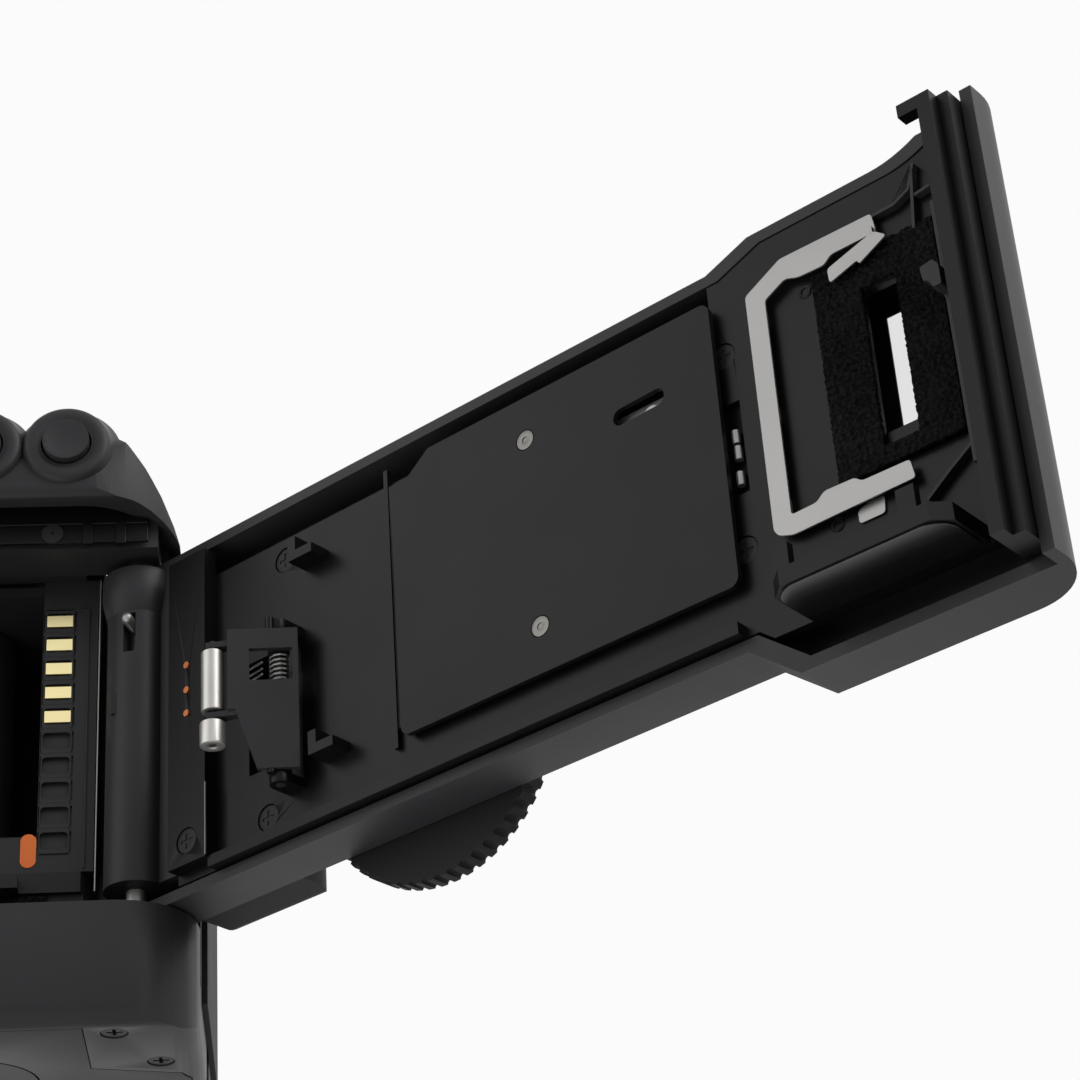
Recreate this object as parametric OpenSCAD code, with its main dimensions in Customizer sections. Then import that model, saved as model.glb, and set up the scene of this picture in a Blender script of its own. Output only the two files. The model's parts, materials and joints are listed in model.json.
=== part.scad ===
// 35 mm film SLR camera body with its film door swung open.
// Front (lens side) faces -Y, the hand grip is on the -X end, the base is z = 0.
// The origin is the mouth of the tripod socket, under the optical axis.

/* [Body] */
// Height of the optical axis above the base
axis_h = 45.5; // [45:0.5:47]
// From the optical axis to the strap-lug end of the body
left_x = 69; // [69:0.5:72]
// From the optical axis to the grip end of the body
right_x = 86; // [86:0.5:88]
// From the tripod socket to the front face
front_y = 13; // [13:0.5:15]
// From the tripod socket to the back face and to the outside of the closed door
back_y = 25.4; // [25.4:0.2:26.4]
// Height of the shoulders
shoulder_h = 92.2; // [91:0.2:95]
// Parting line under the top cover
cover_h = 76; // [76:0.2:77]
// Height to the top of the accessory shoe
top_h = 120.8; // [119:0.2:124]
// Wall of the moulded covers
wall = 1.8; // [1.4:0.1:2]
// From the tripod socket to the back of the brow above the door
brow_y = 33; // [31:0.5:34]

/* [Grip] */
// From the tripod socket to the front of the hand grip
grip_y = 38; // [37.5:0.5:41]
// Height of the grip at its front
grip_h = 80; // [74:0.5:82]
// Skin of rubber on the grip
rubber_t = 0.8; // [0.5:0.1:1]

/* [Film door] */
// Angle of the door from closed, as it stands
door_open = 136.4; // [120:0.2:136.4]
// Hinge axis, from the optical axis towards the grip end
hinge_x = 77.5; // [77.5:0.1:77.8]
// Hinge axis, behind the tripod socket
hinge_y = 18; // [17.8:0.1:18]
// From the hinge axis to the free end of the door
door_len = 146; // [145:0.2:146]
// Lower edge of the door
door_z0 = 17.2; // [17.2:0.1:17.6]
// Upper edge of the door along the film gate
door_z1 = 71; // [70.6:0.1:71.2]
// Lower edge of the deep part at the free end
deep_z0 = 11.8; // [11.8:0.1:12.2]
// Skin of the door shell
door_skin = 1.6; // [1.2:0.1:1.8]

/* [Film path] */
// Film plane, behind the tripod socket
film_y = 16.2; // [16:0.1:16.2]
// Width of the picture frame
frame_w = 36; // [34:0.5:37]
// Height of the picture frame
frame_h = 24; // [22:0.5:24.5]
// Take-up spool radius
spool_r = 7; // [6:0.1:7]
// Cartridge chamber radius
cart_r = 13.3; // [12.9:0.1:13.4]

/* [Lens mount] */
// From the film plane to the lens flange
flange_dist = 44; // [43:0.5:46]
// Outer radius of the flange ring
flange_r = 32.5; // [32:0.1:33]
// Clear radius inside the flange ring
throat_r = 27; // [26:0.1:27.2]

/* [Controls] */
// Radius of the rear control dial
dial_r = 19.5; // [17:0.1:19.6]
// Width of the accessory shoe slot
shoe_slot_w = 18.6; // [18.6:0.1:18.8]

/* [Hidden] */
$fn = 48;
// Overrun of every cut past the face that it opens
cut = 1;
// Gap between pieces that move past each other
gap = 0.3;
// Seam between two covers
seam = 0.15;
// Steps in a rounded corner and in a large sweep
corner_steps = 6;
sweep_steps = 12;

// Finishes as colours
black_plastic = [0.11, 0.11, 0.12];
black_rubber = [0.06, 0.06, 0.065];
die_cast = [0.16, 0.16, 0.17];
bright_steel = [0.78, 0.78, 0.76];
contact_gold = [0.86, 0.66, 0.28];
contact_copper = [0.74, 0.4, 0.24];
foam_black = [0.03, 0.03, 0.03];
clear_glass = [0.7, 0.78, 0.8];

// Outline radii of the body
hinge_corner_r = 11;
end_r = 8.4;
front_r = 7;
base_r = 3;
top_r = 12;
// Large sweep of the grip-end shoulder, across and up
shoulder_sweep = [24, 34.2];
// Plan sweep of the brow corner, across and back
brow_sweep = [16, 21];
// Fall of the brow from the shoulder, back and down
brow_fall = [13, 13];
// Where the brow ends towards the eyepiece, and where its foot meets the back
brow_end_x = 44;
brow_foot_x = 36;
// Rounding under the brow
brow_lip_r = 2;

function arc(c, r, a0, a1, n = corner_steps) =
  [for (k = [0:n]) [c[0] + r * cos(a0 + (a1 - a0) * k / n), c[1] + r * sin(a0 + (a1 - a0) * k / n)]];
function oval(c, ab, a0, a1, n = sweep_steps) =
  [for (k = [0:n]) [c[0] + ab[0] * cos(a0 + (a1 - a0) * k / n),
      c[1] + ab[1] * sin(a0 + (a1 - a0) * k / n)]];

// Box between two values on each axis
module span(x, y, z) {
  translate([x[0], y[0], z[0]]) cube([x[1] - x[0], y[1] - y[0], z[1] - z[0]]);
}
// Rod between two heights
module rod(x, y, z, r) {
  translate([x, y, z[0]]) cylinder(h = z[1] - z[0], r = r);
}
// Rod along Y between two values
module rod_y(x, y, z, r) {
  translate([x, y[1], z]) rotate([90, 0, 0]) cylinder(h = y[1] - y[0], r = r);
}
// Rod along X between two values
module rod_x(x, y, z, r) {
  translate([x[0], y, z]) rotate([0, 90, 0]) cylinder(h = x[1] - x[0], r = r);
}
// Outline in X and Z, drawn out along Y
module slab_y(y) {
  translate([0, y[1], 0]) rotate([90, 0, 0]) linear_extrude(y[1] - y[0]) children();
}
// Outline in Y and Z, drawn out along X
module slab_x(x) {
  translate([x[0], 0, 0]) rotate([90, 0, 90]) linear_extrude(x[1] - x[0]) children();
}
// Rounded rectangle between two corners
module rounded(x, y, r) {
  translate([x[0] + r, y[0]]) square([x[1] - x[0] - 2 * r, y[1] - y[0]]);
  translate([x[0], y[0] + r]) square([x[1] - x[0], y[1] - y[0] - 2 * r]);
  for (px = [x[0] + r, x[1] - r], py = [y[0] + r, y[1] - r]) translate([px, py]) circle(r);
}
// Stadium between two centres
module stadium(a, b, r) {
  for (p = [a, b]) translate(p) circle(r);
  translate(a) rotate([0, 0, atan2(b[1] - a[1], b[0] - a[0])]) translate([0, -r]) square([norm(b - a),
      2 * r]);
}

// Plan outline of the lower body, inset by i
function body_plan(i) = concat(
  arc([-right_x + hinge_corner_r, back_y - hinge_corner_r], hinge_corner_r - i, 180, 90),
  arc([left_x - end_r, back_y - end_r], end_r - i, 90, 0),
  arc([left_x - front_r, -front_y + front_r], front_r - i, 0, -90),
  arc([-right_x + front_r, -front_y + front_r], front_r - i, -90, -180));
// Plan outline of the top cover with its brow, inset by i
function cover_plan(i) = concat(
  oval([-right_x + brow_sweep[0], brow_y - brow_sweep[1]], [brow_sweep[0] - i, brow_sweep[1] - i], 180, 90),
  [[-brow_end_x, brow_y - i], [-brow_foot_x, back_y - i]],
  arc([left_x - end_r, back_y - end_r], end_r - i, 90, 0),
  arc([left_x - front_r, -front_y + front_r], front_r - i, 0, -90),
  arc([-right_x + front_r, -front_y + front_r], front_r - i, -90, -180));
// Front outline, inset by i
function front_face(i) = concat(
  arc([-right_x + base_r, base_r], base_r - i, 270, 180),
  oval([-right_x + shoulder_sweep[0], shoulder_h - shoulder_sweep[1]],
    [shoulder_sweep[0] - i, shoulder_sweep[1] - i], 180, 90),
  arc([left_x - top_r, shoulder_h - top_r], top_r - i, 90, 0),
  arc([left_x - base_r, base_r], base_r - i, 0, -90));
// Side outline of the lower body, inset by i
function side_face(i) = concat(
  arc([-front_y + base_r, base_r], base_r - i, 180, 270),
  arc([back_y - base_r, base_r], base_r - i, 270, 360),
  [[back_y - i, cover_h + cut], [-front_y + i, cover_h + cut]]);
// Side outline of the top cover, inset by i
function cover_side(i) = concat(
  [[-front_y + i, cover_h - cut]],
  arc([-front_y + front_r, shoulder_h - front_r], front_r - i, 180, 90),
  oval([brow_y - brow_fall[0], shoulder_h - brow_fall[1]], [brow_fall[0] - i, brow_fall[1] - i], 90, 0),
  arc([brow_y - brow_lip_r, cover_h + brow_lip_r + i], brow_lip_r - i / 2, 0, -90),
  [[back_y - i, cover_h + i], [back_y - i, cover_h - cut]]);

module lower_envelope(i) {
  intersection() {
    translate([0, 0, i]) linear_extrude(cover_h - i) polygon(body_plan(i));
    slab_y([-front_y - cut, back_y + cut]) polygon(front_face(i));
    slab_x([-right_x - cut, left_x + cut]) polygon(side_face(i));
  }
}
module cover_envelope(i) {
  intersection() {
    translate([0, 0, cover_h - cut]) linear_extrude(shoulder_h - cover_h + 2 * cut) polygon(cover_plan(i));
    slab_y([-front_y - cut, brow_y + cut]) polygon(front_face(i));
    slab_x([-right_x - cut, left_x + cut]) polygon(cover_side(i));
  }
}

// Places a piece drawn on the closed door, with x from the hinge to the free end,
// y from the hinge axis outwards and z up
module on_door() {
  translate([-hinge_x, hinge_y, 0]) rotate([0, 0, door_open]) children();
}
module on_closed_door() {
  translate([-hinge_x, hinge_y, 0]) children();
}

// Door sizes
door_y = back_y - hinge_y;
door_step_x = [103.7, 110.5];
door_z2 = 73.5;
door_z3 = 75.2;
door_sweep_x = [129, 136];
door_lap = 3.3;
wrap_c = [-right_x + hinge_corner_r + hinge_x, door_y - hinge_corner_r];
wrap_x = -sqrt(pow(hinge_corner_r, 2) - pow(wrap_c[1], 2)) + wrap_c[0];
// Face outline of the door, grown by g
function door_face(g) = concat(
  [[wrap_x - 2 * cut, door_z0 - g], [door_step_x[0] - g, door_z0 - g], [door_step_x[1] - g, deep_z0 - g],
    [door_len + g, deep_z0 - g], [door_len + g, door_z3 + g], [door_sweep_x[1] - g, door_z3 + g]],
  [for (k = [1:corner_steps - 1]) let (t = k / corner_steps)
    [door_sweep_x[1] - g - (door_sweep_x[1] - door_sweep_x[0]) * t,
      door_z3 + g - (door_z3 - door_z2) * (1 - pow(1 - t, 2))]],
  [[door_sweep_x[0] - g, door_z2 + g], [door_step_x[1] - g, door_z2 + g], [door_step_x[0] - g, door_z1 + g],
    [wrap_x - 2 * cut, door_z1 + g]]);
// Plan outline of the door block, inset by i
function door_plan(i) = concat(
  arc(wrap_c, hinge_corner_r - i, 90 + acos(-wrap_c[1] / hinge_corner_r), 90, sweep_steps),
  arc([door_len - end_r, door_y - end_r], end_r - i, 90, 0, sweep_steps),
  [[door_len - i, -door_lap - cut * i], [door_len - door_skin - i, -door_lap - cut * i],
    [door_len - door_skin - i, 0 - cut * i], [wrap_x + i, 0 - cut * i]]);
// Space that the closed door takes in the body
module door_space() {
  on_closed_door() slab_y([-cut * 3, door_y + 4 * cut]) polygon(door_face(2 * gap));
}
// Space that the door end takes as it swings to its stop
hinge_sweep_r = 8.3;
module swing_space() {
  rod(-hinge_x, hinge_y, [door_z0 - 2 * gap, door_z1 + 2 * gap], hinge_sweep_r);
  on_door() span([0, 2 * hinge_sweep_r], [0, door_y + 2 * gap], [door_z0 - 2 * gap, door_z1 + 2 * gap]);
}

// Film chambers and gate
gate_t = 2.6;
gate_y = film_y - gate_t;
cart_x = 48.3;
cart_y = film_y - cart_r + gap;
cart_z = [17, 71];
spool_x = 51;
spool_y = 0;
spool_z = [31.5, 69.2];
spool_room_r = 12.5;
spool_room_z = [31.1, 69.6];
chassis_z = [13.4, 75.8];
rail_z = 22.6;
rail_back_y = 17.4;
rail_strip_h = 1.9;
trap_y = 14.4;
panel_y = 15.3;
panel_x = [63.6, 71.4];
panel_t = 2;
film_rail_h = 0.9;
film_rail_in_z = 14.2;
film_rail_out_z = 18.3;
cast_wall = 2.4;
cast_end = [-72, 62.6];

module chassis() {
  color(die_cast) difference() {
    union() {
      // Cast block over the whole width, reaching back to the film plane
      span([cast_end[0], cast_end[1]], [trap_y - 2 * cast_wall, trap_y], [chassis_z[0] + cast_wall,
          chassis_z[1]]);
      span([cast_end[0], cast_end[1]], [trap_y, film_y - film_rail_h], [rail_z,
          chassis_z[1] - 2 * cast_wall]);
      // Walls round the two chambers
      span([-spool_x - spool_room_r - cast_wall, -spool_x + spool_room_r + cast_wall],
        [-front_y + wall + seam, trap_y], [chassis_z[0] + cast_wall, chassis_z[1] - cast_wall]);
      span([cart_x - cart_r - cast_wall / 2, cast_end[1]], [-front_y + wall + seam, trap_y], chassis_z);
      // Strip that shields the groove under the chambers
      span([strip_x[1] - hinge_x + 2 * gap, cart_x - cart_r], [trap_y, rail_back_y], [rail_z,
          rail_z + rail_strip_h]);
      // Upper rail with its lip above the chambers
      span([cast_end[0] + cast_wall, cast_end[1]], [trap_y, rail_back_y - 2 * gap],
        [chassis_z[1] - 2 * rail_strip_h, chassis_z[1]]);
      for (s = [-1, 1], h = [film_rail_in_z, film_rail_out_z])
        span([-frame_w, frame_w - cast_wall], [gate_y, film_y - seam],
          [axis_h + s * h - film_rail_h / 2, axis_h + s * h + film_rail_h / 2]);
    }
    // Picture frame and the shutter room ahead of it
    span([-frame_w / 2, frame_w / 2], [-front_y, film_y + cut], [axis_h - frame_h / 2,
        axis_h + frame_h / 2]);
    span([-shutter_room_x, shutter_room_x], [-front_y, gate_y], shutter_room_z);
    // Spool chamber, round in front and open to the door
    rod(-spool_x, spool_y, spool_room_z, spool_room_r);
    span([-spool_x - spool_room_r, -spool_x + spool_room_r], [spool_y, film_y + cut], spool_room_z);
    rod(-spool_x, spool_y, [spool_room_z[0] - spool_pivot_h - gap, spool_room_z[1] + spool_pivot_h + gap],
        spool_pivot_r + fit);
    // Cartridge chamber
    rod(cart_x, cart_y, [cart_floor_z, cart_z[1]], cart_r);
    span([cart_x - cart_r, cart_x + cart_r], [cart_y, rail_back_y + cut], cart_z);
    rod(cart_x, cart_y, [chassis_z[0] - cut, cart_floor_z + cut], fork_r + fit);
    // Seat of the contact strip
    span([-right_x, -panel_x[0]], [panel_y - panel_t, film_y + 2 * cut], [bar_z[0],
        spool_room_z[1] + cast_wall]);
    span([-panel_x[0] - cut, -bar_x], [panel_y - panel_t, film_y + cut], bar_z);
    span([-right_x, strip_x[1] - hinge_x + 2 * gap], [panel_y, film_y + 2 * cut], [strip_z[0] - 2 * gap,
        strip_z[1] + 2 * gap]);
    // Pockets below the spool chamber for the roller arm and the film guide of the door
    span([-hinge_x + arm_pocket_x[0], -hinge_x + arm_pocket_x[1]], [arm_pocket_y, film_y + 2 * cut],
        [arm_bearing_z[0][0] - 2 * gap, spool_room_z[0] + cut]);
    span([-hinge_x + lug_low[0][0] - gap, -hinge_x + lug_low[1][0] + gap],
        [hinge_y - film_lug_reach - 2 * gap, film_y + 2 * cut],
      [lug_low[0][1] - gap, spool_room_z[0] + cut]);
    // Keeper slots of the latch
    for (z = latch_hook_z) span([latch_x[0] - hinge_x - latch_hook[0] - 2 * gap, left_x],
      [hinge_y + latch_y[0] - latch_hook[1] - 2 * gap, film_y + cut], [z - 2 * gap,
          z + latch_hook[2] + latch_travel + 2 * gap]);
    span([latch_x[0] - hinge_x - 2 * gap, left_x], [hinge_y + latch_y[0] - 2 * gap, rail_back_y + cut],
      [latch_z[0] - 2 * gap, latch_z[1] + latch_travel + 2 * gap]);
    // Keeper of the hook on the tongue
    span([tongue_x - tongue_hook - hinge_x - 2 * gap, left_x], [hinge_y - tongue_reach - 2 * gap,
        rail_back_y + cut],
      [tongue_top_z - tongue_t - 2 * gap, door_z3 + cut]);
    // Free end: room for the tongue of the door
    span([tongue_x - hinge_x - 3 * gap, left_x], [hinge_y - tongue_reach - 2 * gap, back_y],
        [deep_z0 - cut, door_z3 + cut]);
    swing_space();
  }
}
spool_pivot_r = 2;
spool_pivot_h = 2;
fit = 0.08;
fork_r = 3.2;
cart_floor_z = 20;
shutter_room_x = 24.6;
shutter_room_z = [22.9, 68.4];
rib_t = 1.6;
tongue_x = 140.9;
tongue_t = 1.8;
tongue_reach = 7.7;

// Mirror box and shutter
box_x = [21.5, 24];
box_z = [27, 64.2];
box_wall = 2.5;
box_y = [-24.8, 8.4];
mirror_axis = [7.2, 60.2];
mirror_size = [38, 31, 1.2];
mirror_pin_r = 0.9;
sub_at = 13;
sub_size = [20, 10.5, 0.7];
sub_pin_r = 0.6;
module mirror_box() {
  color(die_cast) difference() {
    union() {
      span([-box_x[1], box_x[1]], [box_y[0] + box_wall / 2, box_y[1]], [box_z[0] - box_wall,
          box_z[1] + box_wall]);
      rod_y(0, [box_y[0], box_y[0] + box_wall], axis_h, throat_r + box_wall / 2);
    }
    intersection() {
      span([-box_x[0], box_x[0]], [box_y[0] - cut, box_y[1] + cut], box_z);
      union() {
        span([-box_x[1], box_x[1]], [box_y[0] + box_wall, box_y[1] + cut], box_z);
        rod_y(0, [box_y[0] - cut, box_y[0] + 2 * box_wall], axis_h, throat_r - box_wall / 2);
      }
    }
    rod_y(0, [box_y[0] - cut, box_y[0] + box_wall + seam], axis_h, throat_r - box_wall / 2);
    // Light goes up to the screen
    span([-screen_size[0] / 2 + cut, screen_size[0] / 2 - cut], [screen_y[0] + cut, screen_y[1] - cut],
      [box_z[1] - cut, box_z[1] + 2 * box_wall]);
    span([-screen_size[0] / 2, screen_size[0] / 2], screen_y, [screen_z, box_z[1] + 2 * box_wall]);
    rod_x([-box_x[1] - cut, box_x[1] + cut], mirror_axis[0], mirror_axis[1], mirror_pin_r + fit);
  }
}
screen_size = [37, 25, 1.4];
screen_y = [-18.5, 6.5];
screen_z = 65.3;
shutter_plate_t = 1.3;
shutter_plate_y = [8.6, 9.9];
module shutter_frame() {
  color(die_cast) difference() {
    span([-shutter_room_x + seam, shutter_room_x - seam], shutter_plate_y,
      [shutter_room_z[0] + seam, shutter_room_z[1] - seam]);
    span([-frame_w / 2 - cut, frame_w / 2 + cut], [shutter_plate_y[0] - cut, shutter_plate_y[1] + cut],
      [axis_h - frame_h / 2 - cut, axis_h + frame_h / 2 + cut]);
  }
}
blade_h = 9.2;
blade_t = 0.5;
blade_lap = 0.95;
blade_w = 44;
blade_pitch = 0.85;
module shutter_blade(k) {
  y0 = shutter_plate_y[1] + gap + k * blade_pitch;
  z1 = axis_h + frame_h / 2 + blade_lap - k * (blade_h - blade_lap);
  color(die_cast) difference() {
    span([-blade_w / 2, blade_w / 2], [y0, y0 + blade_t], [z1 - blade_h, z1]);
    for (s = [-1, 1]) rod_y(s * (blade_w / 2 - blade_lap), [y0 - cut, y0 + blade_t + cut],
        z1 - blade_h / 2, blade_t);
  }
}

// Mirror, standing at 45 degrees below its axis
module on_mirror() {
  translate([0, mirror_axis[0], mirror_axis[1]]) rotate([45, 0, 0]) children();
}
module main_mirror() {
  color(bright_steel) {
    on_mirror() difference() {
      union() {
        span([-mirror_size[0] / 2, mirror_size[0] / 2], [-mirror_size[1], 0], [0, mirror_size[2]]);
        for (s = [-1, 1]) span([s * sub_size[0] / 2 + s * gap - (s < 0 ? mirror_size[2] : 0),
            s * sub_size[0] / 2 + s * gap + (s > 0 ? mirror_size[2] : 0)],
          [-sub_at - mirror_size[2], -sub_at + mirror_size[2]], [-2 * mirror_size[2], 0]);
        rod_x([-box_x[1] + seam, box_x[1] - seam], 0, 0, mirror_pin_r);
      }
      rod_x([-mirror_size[0] / 2, mirror_size[0] / 2], -sub_at, -mirror_size[2], sub_pin_r + fit);
    }
  }
}
module sub_mirror() {
  color(bright_steel) on_mirror() translate([0, -sub_at, -mirror_size[2]]) {
    span([-sub_size[0] / 2, sub_size[0] / 2], [-sub_size[2] / 2, sub_size[2] / 2], [-sub_size[1], 0]);
    rod_x([-sub_size[0] / 2 - mirror_size[2], sub_size[0] / 2 + mirror_size[2]], 0, 0, sub_pin_r);
  }
}

// Front shell with the round lens boss
boss_r = 35.5;
boss_y = -25.2;
shell_open_z = 9;
module front_shell() {
  color(black_plastic) difference() {
    union() {
      difference() {
        intersection() {
          lower_envelope(0);
          span([-right_x - cut, left_x + cut], [-front_y - cut, back_y + cut], [shell_open_z, cover_h]);
        }
        lower_envelope_core();
      }
      difference() {
        rod_y(0, [boss_y, -front_y + wall], axis_h, boss_r);
        span([-boss_r, boss_r], [boss_y - cut, 0], [cover_h, axis_h + boss_r + cut]);
      }
    }
    rod_y(0, [boss_y - cut, wall - front_y + cut], axis_h, throat_r + box_wall / 2 + seam);
    span([-box_x[1] - seam, box_x[1] + seam], [boss_y + cut, cut], [box_z[0] - box_wall - seam,
        cover_h + cut]);
    span([-right_x - cut, left_x + cut], [hinge_y - door_lap - 2 * gap - door_skin, back_y + cut],
      [shell_open_z - cut, cover_h + cut]);
    battery_room();
    door_space();
    swing_space();
    wheel_room();
    rod_y(-release_x, [boss_y - cut, 0], release_z, release_r + gap);
    on_axis() rotate([0, 0, 180]) translate([mount_screw_ring, 0, 0]) cylinder(h = 2 * (boss_y - ring_y),
        r = lock_r + fit);
    rod_x([left_x - wall / 2, left_x + cut], lug_y, lug_z, lug_r);
    rod_x([-right_x - cut, -right_x + wall / 2], lug_y, lug_z, lug_r);
    // Bottom of the boss is cut flat above the grip base
    span([-boss_r, boss_r], [boss_y - cut, -front_y], [0, shell_open_z]);
  }
}
// Inside of the covers
module lower_envelope_core() {
  translate([0, 0, -cut]) linear_extrude(cover_h + 2 * cut) polygon(body_plan(wall));
}

// Bottom cover with the lower back wall and the ledge that the door closes on
ledge_z = door_z0 - gap - seam / 2;
deep_ledge_z = deep_z0 - gap - seam / 2;
base_floor = 3.6;
plate_t = 3.3;
wall_in_y = 14;
module bottom_cover() {
  color(black_plastic) difference() {
    intersection() {
      lower_envelope(0);
      slab_x([-right_x - cut, left_x + cut]) polygon([[-front_y - cut, -cut], [back_y + cut, -cut],
        [back_y + cut, ledge_z], [wall_in_y, ledge_z], [wall_in_y, shell_open_z - seam], [-front_y - cut,
            shell_open_z - seam]]);
    }
    // Deep end of the door
    on_closed_door() slab_y([-hinge_y, door_y + cut]) polygon([[door_step_x[0] - gap, ledge_z + seam],
      [door_step_x[1] - gap, deep_ledge_z], [door_len + 2 * end_r, deep_ledge_z], [door_len + 2 * end_r,
          ledge_z + cut],
      [door_step_x[0] - gap, ledge_z + cut]]);
    // Inside
    intersection() {
      translate([0, 0, base_floor]) linear_extrude(ledge_z) polygon(body_plan(2 * wall));
      union() {
        span([-right_x, left_x], [-front_y, back_y], [base_floor, deep_ledge_z - wall]);
        span([-right_x, door_step_x[0] - hinge_x - wall], [wall_in_y + wall, back_y], [base_floor,
            ledge_z - wall]);
        span([-right_x, left_x], [-front_y, wall_in_y + cut], [base_floor, ledge_z + cut]);
      }
    }
    // Seat of the grip base and bores
    translate([0, 0, -cut]) linear_extrude(plate_t + seam + cut) polygon(grip_base(-seam));
    rod(0, 0, [-cut, base_floor + cut], socket_r);
    rod(-hinge_x, hinge_y, [base_floor, ledge_z + cut], hinge_pin_r);
    rod(-coin_x, coin_y, [0, base_floor + cut], coin_stem_r + gap);
    for (p = base_screw_at) {
      rod(p[0], p[1], [-cut, screw_head_h], screw_head_r);
      rod(p[0], p[1], [0, base_floor + cut], screw_shank_r);
    }
    battery_room();
    span([tongue_x - hinge_x - 3 * gap, tongue_x + tongue_t - hinge_x + 3 * gap],
      [hinge_y - tongue_reach - 2 * gap, hinge_y], [deep_ledge_z - wall / 2, ledge_z + cut]);
  }
}
socket_r = 6;
socket_bore_r = 3.175;
socket_depth = 7.5;
socket_flange_r = 7.5;
socket_flange_t = 1.2;
hinge_pin_r = 1.4;
base_screw_at = [[-75, 20.1], [-80.5, 9]];
screw_head_r = 1.9;
screw_head_h = 1.2;
screw_shank_r = 0.9;

module tripod_socket() {
  color(bright_steel) difference() {
    union() {
      rod(0, 0, [0, socket_depth + wall], socket_r);
      rod(0, 0, [base_floor, base_floor + socket_flange_t], socket_flange_r);
    }
    rod(0, 0, [-cut, socket_depth], socket_bore_r);
  }
}

// Detachable hand grip: a moulded handle and the base plate that the coin screw holds
grip_x = [55, 86];
grip_r = 12;
grip_back_y = 13;
grip_fall = [22, 12];
grip_base_x = [38, 70.9];
grip_base_y = 22.3;
grip_notch_y = 4.2;
function grip_plan(i) = concat(
  arc([-right_x + grip_r, -grip_y + grip_r], grip_r - i, 180, 270, sweep_steps),
  arc([-grip_x[0] - grip_r, -grip_y + grip_r], grip_r - i, 270, 350, sweep_steps),
  [[-grip_x[0] + base_r - i, -grip_back_y], [-right_x + i, -grip_back_y]]);
function grip_base(i) = [[-right_x + wall + i, -front_y - cut], [-right_x + wall + i,
    grip_notch_y - base_r - i],
  [-right_x + base_r + i, grip_notch_y - i], [-grip_base_x[1] + i, grip_notch_y + base_r - i],
  [-grip_base_x[1] + i, grip_base_y - i], [-grip_base_x[0] - i, grip_base_y - i],
  [-grip_base_x[0] - i, -front_y + wall], [-grip_x[0] + base_r - i, -front_y - cut]];
function grip_side(i) = concat(
  arc([-grip_y + base_r, base_r], base_r - i, 180, 270),
  [[-grip_back_y, i], [-grip_back_y, grip_h + grip_fall[1] / 2 - i]],
  oval([-grip_y + grip_fall[0], grip_h - grip_fall[1] / 2], [grip_fall[0] - i, grip_fall[1] - i], 90, 180));
battery_size = [17, 34, 45];
battery_at = [-83.2, -36, 6];
battery_air = 0.3;
module battery_room() {
  span([battery_at[0] - battery_air, battery_at[0] + battery_size[0] + battery_air],
    [battery_at[1] - battery_air, battery_at[1] + battery_size[1] + battery_air],
    [battery_at[2] - battery_air, battery_at[2] + battery_size[2] + battery_air]);
}
module hand_grip() {
  color(black_plastic) difference() {
    union() {
      intersection() {
        linear_extrude(shoulder_h) polygon(grip_plan(0));
        slab_x([-right_x - cut, 0]) polygon(grip_side(0));
      }
      linear_extrude(plate_t) polygon(grip_base(0));
    }
    battery_room();
    rod(-coin_x, coin_y, [-cut, coin_t + seam], coin_r + gap);
    rod(-coin_x, coin_y, [0, plate_t + cut], coin_stem_r + gap);
    // Shutter button and front dial seats
    rod(-shutter_x, shutter_y, [shutter_z - shutter_stem_h - cut, shoulder_h], shutter_stem_r + gap);
    rod(-shutter_x, shutter_y, [shutter_z, shoulder_h], shutter_r + gap);
    wheel_room();
    rod_x([-wheel_x - wheel_t - seam, -wheel_x + wheel_t + seam], wheel_y, wheel_z, wheel_axle_r + fit);
  }
}
module battery() {
  color(black_rubber) translate([battery_at[0] + battery_size[0] / 2, battery_at[1], battery_at[2]]) {
    for (y = [battery_size[0] / 2, battery_size[1] - battery_size[0] / 2])
      translate([0, y, 0]) cylinder(h = battery_size[2], r = battery_size[0] / 2);
    span([-battery_size[0] / 2, battery_size[0] / 2], [battery_size[0] / 2,
        battery_size[1] - battery_size[0] / 2],
      [0, battery_size[2]]);
  }
}
rubber_z = [8, 70];
rubber_back_y = 9;
module grip_rubber() {
  color(black_rubber) difference() {
    translate([0, 0, rubber_z[0]]) linear_extrude(rubber_z[1] - rubber_z[0]) {
      difference() {
        polygon(grip_plan(-rubber_t));
        polygon(grip_plan(0));
      }
      translate([-right_x - rubber_t, -grip_back_y]) square([rubber_t, grip_back_y + rubber_back_y]);
    }
    slab_y([-grip_y - 2 * cut, rubber_back_y + cut]) difference() {
      translate([-2 * right_x, -cut]) square([2 * right_x, 2 * shoulder_h]);
      polygon(front_face(-rubber_t));
    }
    slab_x([-right_x - 2 * cut, 0]) difference() {
      translate([-grip_y - 2 * cut, -cut]) square([grip_y - grip_back_y + 2 * cut, 2 * shoulder_h]);
      polygon(grip_side(-rubber_t));
    }
    rod_x([-right_x - 2 * cut, -right_x + cut], lug_y, lug_z, lug_r + gap);
  }
}
coin_x = 55;
coin_y = 3;
coin_r = 8.5;
coin_t = 1.6;
coin_stem_r = 3;
coin_slot = [1.6, 0.9];
module grip_screw() {
  color(black_plastic) difference() {
    union() {
      rod(-coin_x, coin_y, [0, coin_t], coin_r);
      rod(-coin_x, coin_y, [coin_t, plate_t + base_r], coin_stem_r);
    }
    translate([-coin_x, coin_y, 0]) rotate([0, 0, 30]) span([-coin_r + coin_slot[0], coin_r - coin_slot[0]],
      [-coin_slot[0] / 2, coin_slot[0] / 2], [-cut, coin_slot[1]]);
  }
}

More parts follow.
